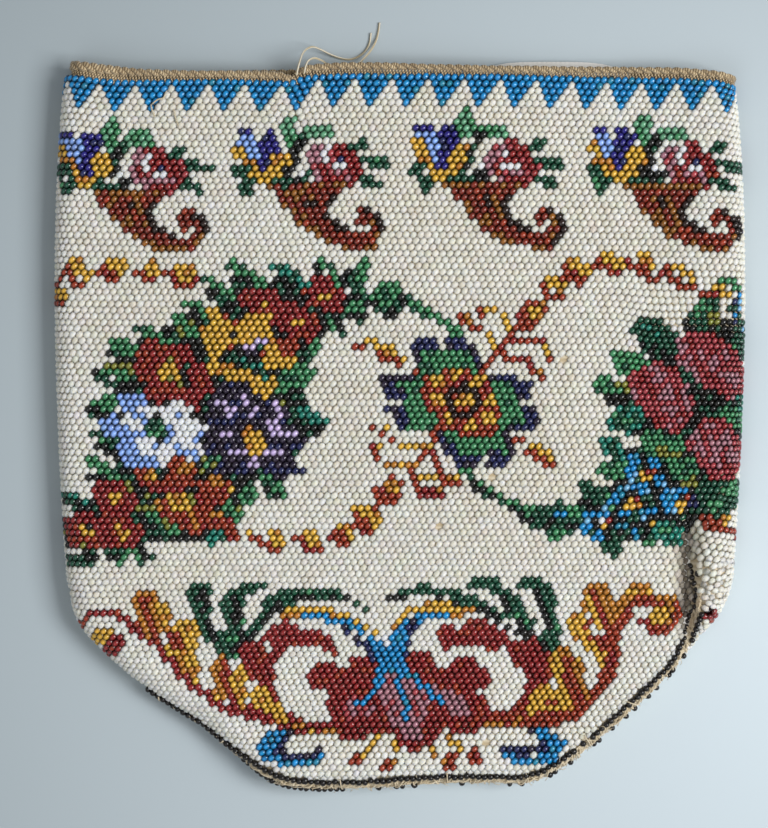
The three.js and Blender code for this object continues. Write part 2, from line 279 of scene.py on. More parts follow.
def woven_cotton():
    """Plain-woven white cotton: a fine over-and-under of threads, greyed here and there.

    Its bumps are two wave textures, across and along, that each repeat at every second thread.
    """
    material, tree, shader, coords = new_material("plain_woven_cotton")
    place = coords["Object"]
    weft, warp = (
        add_node(
            tree, "TexWave", "Fac", {"bands_direction": axis}, Vector=place,
            Scale=per_metre(math.pi * 2 * THREAD_SPACING), Distortion=0.6,
        )
        for axis in ("X", "Y")
    )
    weave = add_node(tree, "Math", 0, TIMES, _0=weft, _1=warp)
    darkening = add_node(tree, "TexNoise", "Fac", Vector=place, Scale=per_metre(9.0), Detail=4.0)
    amount = add_node(tree, "MapRange", Value=darkening, _1=0.4, _2=0.8, _4=0.5)
    colour = add_node(tree, "Mix", 2, OF_COLOURS, _0=amount, _6=linear("#F1EFEA"), _7=linear("#D8D2C4"))
    bump = add_node(tree, "Bump", Height=weave, Distance=0.1 * MM, Strength=0.5)
    feed(tree, shader, Base_Color=colour, Normal=bump, Roughness=0.9, Sheen_Weight=0.15)
    return material


# Opaque chalk-white glass: a soft, broad gloss over ivory, yellowed by handling
chalk = bead_glass("chalk_white_glass_beads", 0.4, 0.55, 0.12, 0.22, 0.85)
# Clear and opaque coloured glass: deep colour with one small hard highlight to each bead
coloured = bead_glass("coloured_glass_beads", 0.12, 0.22, 0.03, 0.7, 0.0)
jet = jet_glass()
linen = knitted_linen()
cotton = woven_cotton()
crochet_thread = spun_thread("tan_crochet_thread", "#D8C39C", "#7C6547", 0.25)
sewing_thread = spun_thread("straw_sewing_thread", "#F2E8D0", "#C2AB82", 0.3)
cream_thread = spun_thread("cream_cotton_thread", "#E6DDC8", "#B5A684", 0.35)

# Loose ends of the rim's thread

THREAD_DIAMETER = 0.5
PATH_STEPS = 6  # between two points of a thread's route
LONG_THREAD = [
    (-25.9, 0.5, 10.2), (-25.4, 2.6, 10.3), (-24.9, 4.4, 9.5), (-24.4, 6.0, 7.7), (-23.4, 7.4, 5.7),
    (-21.9, 8.1, 3.9), (-20.0, 7.6, 2.4), (-17.8, 6.6, 1.3), (-15.3, 5.7, 0.7), (-12.8, 5.3, 0.4),
    (-10.5, 6.0, 0.35), (-8.6, 7.6, 0.35), (-7.6, 9.7, 0.35), (-7.3, 12.0, 0.35),
]
SHORT_THREAD = [
    (-24.0, 0.8, 10.2), (-23.6, 2.6, 10.3), (-22.9, 4.1, 9.4), (-21.4, 4.9, 7.9), (-19.6, 4.4, 6.5),
    (-18.0, 3.4, 5.6), (-15.6, 2.5, 5.0), (-13.2, 2.5, 4.6), (-11.2, 3.3, 3.8), (-9.4, 5.0, 2.6),
    (-7.4, 7.4, 1.4), (-6.0, 10.0, 0.6), (-5.4, 12.4, 0.35), (-5.1, 14.6, 0.35),
]


def smooth_path(points, steps):
    """A curve through points: between each two, the cubic whose slopes fit the square roots of the gaps."""
    points = np.array(points, float)
    first, last = 2 * points[:1] - points[1:2], 2 * points[-1:] - points[-2:-1]
    p0, p1, p2, p3 = (np.concatenate([first, points, last])[i:i + len(points) - 1] for i in range(4))
    gap = [np.sqrt(np.linalg.norm(b - a, axis=1))[:, None] for a, b in ((p0, p1), (p1, p2), (p2, p3))]
    out = gap[1] * ((p1 - p0) / gap[0] - (p2 - p0) / (gap[0] + gap[1]) + (p2 - p1) / gap[1])
    into = gap[1] * ((p2 - p1) / gap[1] - (p3 - p1) / (gap[1] + gap[2]) + (p3 - p2) / gap[2])
    t = np.linspace(0, 1, steps, endpoint=False)[None, :, None]
    a, b, c, d = p1, out, 3 * (p2 - p1) - 2 * out - into, 2 * (p1 - p2) + out + into
    path = a[:, None] + t * (b[:, None] + t * (c[:, None] + t * d[:, None]))
    return np.concatenate([path.reshape(-1, 3), points[-1:]])


def add_thread(name, points):
    """A loose end of thread: a round curve along given points."""
    path = smooth_path(points, PATH_STEPS)
    path[:, 1] += MOUTH_Y
    curve = bpy.data.curves.new(name, "CURVE")
    curve.dimensions = "3D"
    curve.bevel_depth = THREAD_DIAMETER / 2 * MM
    curve.bevel_resolution = 2
    curve.use_fill_caps = True
    spline = curve.splines.new("POLY")
    spline.points.add(len(path) - 1)
    spline.points.foreach_set("co", np.column_stack([path * MM, np.ones(len(path))]).ravel())
    spline.use_smooth = True
    curve.materials.append(cream_thread)
    piece = bpy.data.objects.new(name, curve)
    bpy.context.scene.collection.objects.link(piece)
    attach(piece, "root")
    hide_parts(name.replace("cream_", "thread_"))


add_thread("cream_end_long", LONG_THREAD)
add_thread("cream_end_short", SHORT_THREAD)

# Meshes


def add_piece(name, points, loops, starts, materials, slot, replaces=()):
    """A mesh from points in millimetres, the corners of its faces in a row, and where each face starts."""
    mesh = bpy.data.meshes.new(name)
    mesh.vertices.add(len(points))
    mesh.vertices.foreach_set("co", (points * MM).astype(np.float32).ravel())
    mesh.loops.add(len(loops))
    mesh.loops.foreach_set("vertex_index", loops.astype(np.int32))
    mesh.polygons.add(len(starts))
    mesh.polygons.foreach_set("loop_start", starts.astype(np.int32))
    mesh.polygons.foreach_set("use_smooth", np.ones(len(starts), bool))
    mesh.update(calc_edges=True)
    for material in materials:
        mesh.materials.append(material)
    piece = bpy.data.objects.new(name, mesh)
    bpy.context.scene.collection.objects.link(piece)
    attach(piece, "root")
    if replaces:
        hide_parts(*replaces)
    return piece


def add_map(piece, uv, name="OFBake"):
    """A map that gives one flat place to each vertex."""
    loops = np.empty(len(piece.data.loops), np.int32)
    piece.data.loops.foreach_get("vertex_index", loops)
    layer = piece.data.uv_layers.new(name=name)
    layer.uv.foreach_set("vector", uv[loops].astype(np.float32).ravel())


def unit_square(flat):
    """Places moved and stretched to fill the unit square."""
    low, high = flat.min(0), flat.max(0)
    return (flat - low) / (high - low)


def smooth_step(value, low, high):
    """0 up to low, 1 from high on, and between them the cubic that is level at both."""
    t = np.clip((value - low) / (high - low), 0, 1)
    return t * t * (3 - 2 * t)


def bell(value, middle, breadth):
    """1 at the middle, falling off on both sides as the exponential of minus the distance squared."""
    return np.exp(-(((value - middle) / breadth) ** 2))


def unit(vectors):
    """Vectors drawn out to a length of one."""
    return vectors / np.linalg.norm(vectors, axis=-1, keepdims=True)


def tubes(paths, radius, sides, up):
    """Closed tubes along paths of shape (tubes, steps, 3): a ring of `sides` points round each step.

    Each ring lies square to its path, turned so that its first spoke is square to `up`. Ends are capped.
    Returns points, corners, starts and a map that counts millimetres along and shares round each tube.
    """
    count, steps, _ = paths.shape
    along = unit(np.gradient(paths, axis=1))
    side = unit(np.cross(along, up))
    over = np.cross(side, along)
    angle = np.linspace(0, 2 * math.pi, sides, endpoint=False)[:, None]
    spokes = np.cos(angle) * side[:, :, None] + np.sin(angle) * over[:, :, None]
    points = paths[:, :, None] + np.reshape(radius, np.shape(radius) + (1,) * (4 - np.ndim(radius))) * spokes
    step, turn = np.meshgrid(np.arange(steps - 1), np.arange(sides), indexing="ij")
    beside = (turn + 1) % sides
    quads = np.stack([step * sides + turn, step * sides + beside], -1)
    quads = np.concatenate([quads, quads[..., ::-1] + sides], -1).reshape(-1, 4)
    first, last = np.arange(sides)[::-1], np.arange(sides) + (steps - 1) * sides
    corners = np.concatenate([quads.ravel(), first, last])
    starts = np.concatenate([np.arange(len(quads)) * 4, quads.size + np.array([0, sides])])
    shift = np.arange(count)[:, None]
    length = np.linalg.norm(np.diff(paths, axis=1, prepend=paths[:, :1]), axis=2).cumsum(1)
    share = np.broadcast_to(np.arange(sides) / sides, (count, steps, sides))
    uv = np.stack([np.broadcast_to(length[:, :, None], share.shape), share], -1)
    return (
        points.reshape(-1, 3),
        (corners + shift * steps * sides).ravel(),
        (starts + shift * len(corners)).ravel(),
        uv.reshape(-1, 2),
    )


def joined(parts):
    """Several results of tubes() as one."""
    points, corners, starts, maps = [], [], [], []
    for part in parts:
        corners.append(part[1] + sum(len(p) for p in points))
        starts.append(part[2] + sum(len(c) for c in corners[:-1]))
        points.append(part[0])
        maps.append(part[3])
    return tuple(np.concatenate(each) for each in (points, corners, starts, maps))


def strayed(value, spread, count):
    """A measure that strays at random from its usual value, as a column."""
    return value + spread * rng.standard_normal((count, 1))


def add_thread_piece(name, parts, ply, material, slot, replaces=()):
    """A piece of tubes, with a map that runs along its threads: `ply` of its units to a millimetre."""
    points, corners, starts, uv = joined(parts)
    piece = add_piece(name, points, corners, starts, [material], slot, replaces)
    add_map(piece, uv * (ply, 1.0), "thread")


# The bag's surface


def quadratic(start, control, end, steps=24):
    """A curve from start to end that sets out towards the control point and comes in from it."""
    t = np.linspace(0, 1, steps)[:, None]
    return (1 - t) ** 2 * start + 2 * t * (1 - t) * control + t * t * end


def towards(start, end, distance):
    """The point a set distance from one corner towards another."""
    return start + unit(end - start) * distance


def outward(line):
    """The way out from a line that runs from the bag's upper left round the foot to its upper right."""
    along = unit(np.gradient(line, axis=0))
    return np.column_stack([-along[:, 1], along[:, 0]])


def foot_sag(x):
    """How far the foot hangs at places across the bag: a step down, a part lost again, a step up."""
    lost, lost_from, lost_to = FOOT_SAG_EASED
    eased = 1 - lost * smooth_step(x, lost_from, lost_to)
    return FOOT_SAG * smooth_step(x, *FOOT_SAG_IN) * eased * (1 - smooth_step(x, *FOOT_SAG_OUT))


def outline():
    """The silhouette: a curve down each side, a round corner, a slanted hem, a round corner, the foot.

    The right half is drawn from the foot's middle up, and mirrored. The whole is then stepped evenly, and
    the hems and the foot are swelled. Returns its points, its outward normals, the length from the left end
    of the hem to each point, and the hem's own length.
    """
    mouth = np.array([MOUTH_WIDTH / 2, 0])
    control = np.array([MOUTH_WIDTH / 2 + SIDE_SWELL, SWELL_DROP])
    corner = np.array([CORNER_WIDTH / 2, CORNER_DROP])
    foot = np.array([FOOT_WIDTH / 2, BODY_LENGTH])
    middle = np.array([0, BODY_LENGTH])
    hem_end = towards(corner, control, CORNER_ROUND)
    right = np.concatenate([
        [middle],
        quadratic(towards(foot, middle, FOOT_ROUND), foot, towards(foot, corner, FOOT_ROUND)),
        quadratic(towards(corner, foot, CORNER_ROUND), corner, hem_end),
        quadratic(hem_end, control, mouth)[1:],
        [[mouth[0], -SPARE_ABOVE]],
    ])
    line = np.concatenate([right[:0:-1] * (-1, 1), right])
    length = np.concatenate([[0], np.linalg.norm(np.diff(line, axis=0), axis=1).cumsum()])
    even = np.linspace(0, length[-1], round(length[-1] / OUTLINE_STEP))
    points = np.column_stack([np.interp(even, length, line[:, i]) for i in (0, 1)])
    for side, (swell, top, bottom) in ((-1, LEFT_SWELL), (1, RIGHT_SWELL)):
        share = np.clip((points[:, 1] - top) / (bottom - top), 0, 1) * (points[:, 0] * side > 0)
        points = points + swell * np.sin(math.pi * share)[:, None] * outward(points)
    low = smooth_step(points[:, 1], *FOOT_DROPS)
    push, centre, breadth = FOOT_CORNER
    corner_push = push * bell(points[:, 0], centre, breadth) * low
    points = points + corner_push[:, None] * outward(points)
    points[:, 1] += foot_sag(points[:, 0]) * low
    normals = outward(points)
    hem_from = np.interp(-hem_end[1], -line[:len(right), 1][::-1], length[:len(right)][::-1])
    return points, normals, even - hem_from, length[-1] - 2 * hem_from


edge_points, edge_normals, edge_along, HEM_LENGTH = outline()
inner_edge = edge_points - EDGE_ROLL * edge_normals
edge_tangents = np.column_stack([edge_normals[:, 1], -edge_normals[:, 0]])


def nearest_edge(flat):
    """For each flat place, the nearest step of the inner edge."""
    found = [
        np.argmin(((part[:, None] - inner_edge[None]) ** 2).sum(2), axis=1)
        for part in np.array_split(flat, max(1, len(flat) // PLACES_AT_ONCE))
    ]
    return np.concatenate(found)


def roll(flat, back, depth):
    """Wrap flat places on the front or the back round the bag's rolled edge.

    Inside the inner edge the fabric stays flat. Past it, a place's distance out becomes a turn round an
    ellipse as wide as the roll and as high as the bag, a right angle at the silhouette. `depth` is how
    far it lies under the bead tops. Returns x, drop and z, the length along the hem and the distance out.
    """
    near = nearest_edge(flat)
    offset = flat - inner_edge[near]
    out = (offset * edge_normals[near]).sum(1)
    aside = (offset * edge_tangents[near]).sum(1)
    way = 2 * QUARTER - out if back else out
    turn = np.clip(way / QUARTER, 0, 2) * math.pi / 2
    reach = (EDGE_ROLL - depth) * np.sin(turn) + np.minimum(way, 0) + np.minimum(2 * QUARTER - way, 0)
    plan = inner_edge[near] + edge_tangents[near] * aside[:, None] + edge_normals[near] * reach[:, None]
    z = HALF + (HALF - depth) * np.cos(turn)
    return plan[:, 0], plan[:, 1], z, edge_along[near], out


# How far the front's mouth edge hangs below a straight line, at places across the bag
SAG_X = [-86, -80, -75, -70, -65, -56, -43, -30, -27, -24.5, -22, -15, 5, 20, 34, 50, 60, 70, 80, 86]
SAG = [
    -1.2, -0.5, 0.4, 0.8, 0.9, 0.6, 0.4, 0.9, 1.0, -0.4, -0.9, -1.4, -1.3, -1.3, -1.0, -0.4, -0.2, 0.1,
    0.9, 2.0,
]
SAG_FADE = 26.0  # down the bag
MOUTH_CORNERS = (72, 82)  # out from the middle, where the back comes to go with the front

# Relief of the front
WAVE_DEPTH = 0.4  # half of it
WAVE_ACROSS, WAVE_DOWN = 17, 23  # a sixth of the waves' lengths
WAVE_SWAY, WAVE_SWAY_DOWN, WAVE_SLANT = 0.8, 31, 60  # how they wander from straight lines
DIP = 2.4  # at the upper right
DIP_IN, DIP_OUT, DIP_DROPS = (0, 60), (60, 80), (40, 64)
CREASE, CREASE_BREADTH = 5.0, 3.2  # depth of the valley beside the rolled-up corner
CREASE_X, CREASE_DROP, CREASE_SLANT = 71.6, 125, 0.02
CREASE_IN, CREASE_OUT = (98, 118), (136, 148)
RIDGE, RIDGE_BREADTH, RIDGE_PAST = 1.6, 2.8, 5.8  # height of the ridge, and how far past the valley


def relief(x, drop):
    """How far the front lies below its flat level: slow waves, a dip at the upper right, and a valley with
    a ridge beside it along the rolled-up corner. The waves are two sines multiplied, one across and one
    down, and the valley and the ridge are bell curves.
    """
    across = np.sin(x / WAVE_ACROSS + WAVE_SWAY * np.sin(drop / WAVE_SWAY_DOWN))
    waves = WAVE_DEPTH * (1 + across * np.sin(drop / WAVE_DOWN + x / WAVE_SLANT))
    dip = DIP * (smooth_step(x, *DIP_IN) - smooth_step(x, *DIP_OUT)) * (1 - smooth_step(drop, *DIP_DROPS))
    past = x - CREASE_X + CREASE_SLANT * (drop - CREASE_DROP)
    crease = CREASE * bell(past, 0, CREASE_BREADTH) - RIDGE * bell(past, RIDGE_PAST, RIDGE_BREADTH)
    return waves + dip + crease * smooth_step(drop, *CREASE_IN) * (1 - smooth_step(drop, *CREASE_OUT))


def settle(x, drop, z):
    """A place as the bag has settled, in the frame: the front hangs by its sag and relief, the back is flat.

    At the corners of the mouth the back goes with the front.
    """
    front = np.clip((z - HALF) / HALF, 0, 1)
    share = np.maximum(front, smooth_step(np.abs(x), *MOUTH_CORNERS))
    hung = drop + share * np.interp(x, SAG_X, SAG) * np.exp(-np.maximum(drop, 0) / SAG_FADE)
    return np.stack([x, MOUTH_Y - hung, z - front * relief(x, drop)], -1)


def place(flat, back, depth):
    """Flat places of one side, rolled round the edge and settled."""
    x, drop, z, *_ = roll(flat, back, depth)
    return settle(x, drop, z)


def seam_rise(share):
    """How far the seam's middle lies up the rolled edge, easing from station to station."""
    rise = SEAM_STATIONS[0][1] + 0 * share
    for (low, before), (high, after) in zip(SEAM_STATIONS, SEAM_STATIONS[1:]):
        rise = rise + (after - before) * smooth_step(share, low, high)
    return rise


SEAM_LENGTH = HEM_LENGTH - SEAM_START - SEAM_END


def rows_closed(share):
    """How far the seam's two rows have come together."""
    return ROWS_CLOSE * smooth_step(share, *ROWS_CLOSE_AT)


def panel_edges(along):
    """Where the front and the back end, as rises up the rolled edge from the silhouette.

    Along the seam they leave room for its two rows of beads. Past its ends the two meet, and their line
    runs out to the silhouette.
    """
    share = (along - SEAM_START) / SEAM_LENGTH
    past = along - SEAM_START - SEAM_LENGTH
    before = np.maximum(SEAM_START + SEAM_SHOWS_FROM * SEAM_LENGTH - along, 0)
    faded = (1 - smooth_step(past, 0, FOLD_FADE)) * (1 - smooth_step(before, 0, TUCK_RISES))
    rise = seam_rise(share) * faded
    room = (1 - smooth_step(past, *SEAM_CLOSES)) * (1 - smooth_step(before, 0, TUCK_OPENS))
    room = room * (1 - rows_closed(share))
    return rise + (FRONT_ROW + ROW_ROOM) * room, rise + (BACK_ROW - ROW_ROOM) * room


# Charts of the pattern. Each line is a colour, a kind of shape and its points as x,drop: a band has its
# width and a line, a spot its two radii and centres, and beads stand alone. Points alone are a patch's
# corners. A slash starts one more of the same kind. A line that starts with a space goes on with the last.

PALETTE = {
    "chalk": "#F0EADA",
    "milk": "#F3F1EC",
    "cerulean": "#0C88C8",
    "navy": "#1E2557",
    "sky": "#86AAEE",
    "azure": "#72AFD8",
    "lilac": "#C2AEDA",
    "violet": "#271C34",
    "jade": "#3D8657",
    "bottle": "#114E37",
    "teal": "#157C6A",
    "olive": "#7E7F2E",
    "mustard": "#DAA937",
    "amber": "#B9761F",
    "brown": "#8E5714",
    "rust": "#9A3417",
    "oxblood": "#7E2410",
    "ruby": "#8C1E1E",
    "rose": "#A23B42",
    "pink": "#A9737F",
    "jet": "#101110",
    "indigo": "#221C7C",
    "petrol": "#1A82A4",
    "celadon": "#62A27C",
    "umber": "#26120C",
}

HORN_REPEAT = 44.5
HORN_LIFT_X = [-60, -30, 4, 86]  # the row of horns lies higher towards the right
HORN_LIFT = [0.0, 0.7, 1.0, 0.9]
HORN = """
indigo band 1.5 -84.3,14.4 -82.2,14.6
sky -85,15.3 -81.2,15.2 -79.3,17.5 -78.7,20 -79.4,22.6 -81.3,21.2 -83.2,20.3 -84.2,18
indigo -79.9,16.2 -79.2,14.2 -76.2,14.2 -74.4,16.2 -75,18.6 -76.6,20.3 -79,20.2 -79.3,17.6 / -79.6,20.2
 -76.8,20.2 -76.3,22.6 -78,24.6 -80.2,24.6
mustard -86,17.6 -84.2,17.4 -83.4,19.4 -82.8,20.8 -84.6,20.6 -85.6,19.4
amber band 1.4 -84,21.6 -81.6,21.8
mustard -82.4,22.6 -80.6,23.4 -79.8,24.8 -77,25 -76.4,27.3 -79.5,27.2 -81.3,25.8 / -76.4,20.2 -75.2,19
 -72.4,19 -71.8,21.6 -73.2,24.2 -74.2,25.4 -77.2,25.2 -76.6,22.6
bottle -86.2,23.2 -84.6,22.4 -82.6,22.6 -83,24.6 -84.8,25.6 -86,25 / -84.8,27 -82.8,25.8 -80.8,26.6
 -81.8,28.8 -83.2,30.3 -84.6,29
celadon -72.6,9.8 -71.2,11 -70.8,13.4 -71.2,16 -72.2,17.8 -73.4,16 -74.8,14.4 -74.8,12.8 -73.8,11.4 /
 -69,14.4 -66.4,13 -63.4,13.2 -62.2,14.6 -61.2,16 -63.6,16.4 -67.6,16.2
jet band 1.6 -69,15.4 -69.2,17 -70.4,18.2 -71.4,20.2 -71,22
jet -73.4,23.2 -71.8,22.8 -71.6,24.6 -73.2,25.2
bottle band 2 -75.8,26.2 -74.2,27.4 -71.2,27.2
jet -70.8,25.2 -69.2,25.4 -67.6,24 -66.4,23.6 -66.8,24.8 -67.8,26.6 -68.2,28.2 -70.4,28.2
rose -66.8,20 -64.6,18 -60,17.4 -57.6,19 -55.4,21 -54,24 -55,27 -57.6,28.8 -61,28.6 -64.4,27.4 -66.4,24.6
 -67.2,22.2
pink -67.2,20 -65,18 -63.6,19 -64.4,22 -65,26.6 -66.6,24.8 -67.4,22.4
ruby band 1.6 -64.6,23 -63,27
ruby spot 2.2 1.9 -59.4,20.2
ruby band 2.6 -56.8,21 -55.4,24.6
pink band 2 -63.4,26.2 -57.4,25.6
ruby band 1.5 -62.4,27 -57,27.6
navy beads -59.6,22.8
milk beads -62.3,19.5 -63.5,21 -63,22.6 -60.8,24 -59,24 -69.3,24.1
bottle -57.2,19.6 -55.6,17.6 -52.6,17 -53.4,18.8 -55,19.8 / -55,21.6 -51,21 -47,22.8 -48,23.8 -52,23.4 /
 -55.4,26.4 -52.4,25.8 -49.4,28 -50.8,29 -52.8,28.2 -54,27.2
oxblood -75.6,29.2 -59.4,29 -60.6,31 -63.2,33.4 -62.4,36 -60.2,38.6 -57.4,40.6 -52.6,40.8 -50.8,38.6
 -51.4,36.8 -53.6,36.6 -53.6,38.4 -54.8,37.8 -55.4,35.6 -54.2,33.8 -52.2,33.8 -50,36 -49.4,39 -50.4,42
 -52,43.4 -58.6,43.2 -65,40.6 -69.6,37.6 -71.6,34.4 -75,31
brown band 1.5 -77,28 -73.6,28.8 -66,28.6 -59,28.4
brown band 1.2 -73.4,32 -69.2,37.4 -64.8,40.6 -60,42.8 -51.4,43.2
brown band 1 -71,30.5 -67,37.5 -64,39.5 / -66.5,30.5 -63.5,37
umber band 1.4 -68,31.8 -66.6,32.4 / -61,31.4 -63,33 -62.4,36.2 -60,38 -57.6,39.4 / -52,34.6 -49.2,36.4
 -48.4,38.6 -50.2,41.4
brown band 1.2 -51.6,36 -50.2,38.4 -50.6,41
"""

SWAGS = """
mustard spot 1.7 1.5 -85,54.3
rust spot 1.4 1 -85.6,56.6
rust band 1.3 -86,52.2 -84.6,50.4 -83,48.6
mustard -82.8,44.8 -79.4,44.8 -78.6,47.4 -76.8,49 -78,51.2 -80.4,50 -81.8,47.6
rust band 1.6 -83.4,48.2 -82.2,50.4 -80,52.2
ruby beads -76,49
mustard -73.8,45.2 -70.4,45 -68.4,47.2 -69.6,49.6 -71.4,48.2 -73.4,47
rust -75.2,46.8 -73,47.8 -70.8,49.8 -72,51.4 -74.4,50.6
mustard -64.4,46.6 -61.4,46 -60.4,49.2 -62.8,49
rust band 1.6 -66.6,48.8 -64.2,49.8 -62,50.8
mustard -56.8,46.2 -52.8,46.2 -51,49 -51.6,51.2 -54.6,50.6 -56,48.2
rust band 1.6 -59,48.6 -57.4,49.8 -55.8,51.4 -54.2,52.4 -50.6,51
rust spot 0.9 1.5 -48.8,53.6
rust band 1.6 -44,112 -42.5,114.5 -40,115.8
mustard beads -38.7,113.7
mustard -34,113.5 -32,113 -29.5,115 -28,117 -30,117.5 -32.5,116.5
rust band 1.6 -37,115 -34.5,116 -33,117.5 -30.5,118.7
mustard -25,113.3 -22.5,113.5 -20.5,115.3 -20,117.5 -22,118 -23.5,115.5
rust band 1.7 -27,116 -25,115.5 -24,117.3 -22,118.8 -20.5,118.5
mustard -16.5,112 -14,112 -11,114.5 -11,116.3 -13,116 -15.5,113.5
rust -18.5,115 -17,113.5 -14.8,113.8 -14,116 -12,116.7 -13.5,118 -15.5,117.3 -17.5,116
mustard -11.5,108 -8,107.5 -5.5,110 -5,112 -7,112.5 -9,110
rust -12.3,109.5 -10.5,109 -9,111 -6.5,112.8 -7,114 -11,113.2
rust beads -7,108
amber -4.5,101.5 -1,100 0,101.5 -1,104 -3,104.5
rust -6,101.5 -4.5,102.5 -3,104.8 -0.2,104.3 -0.5,105.5 -3,107 -6,107 -6.5,105
rust beads -2.5,100 0.3,101.5
"""

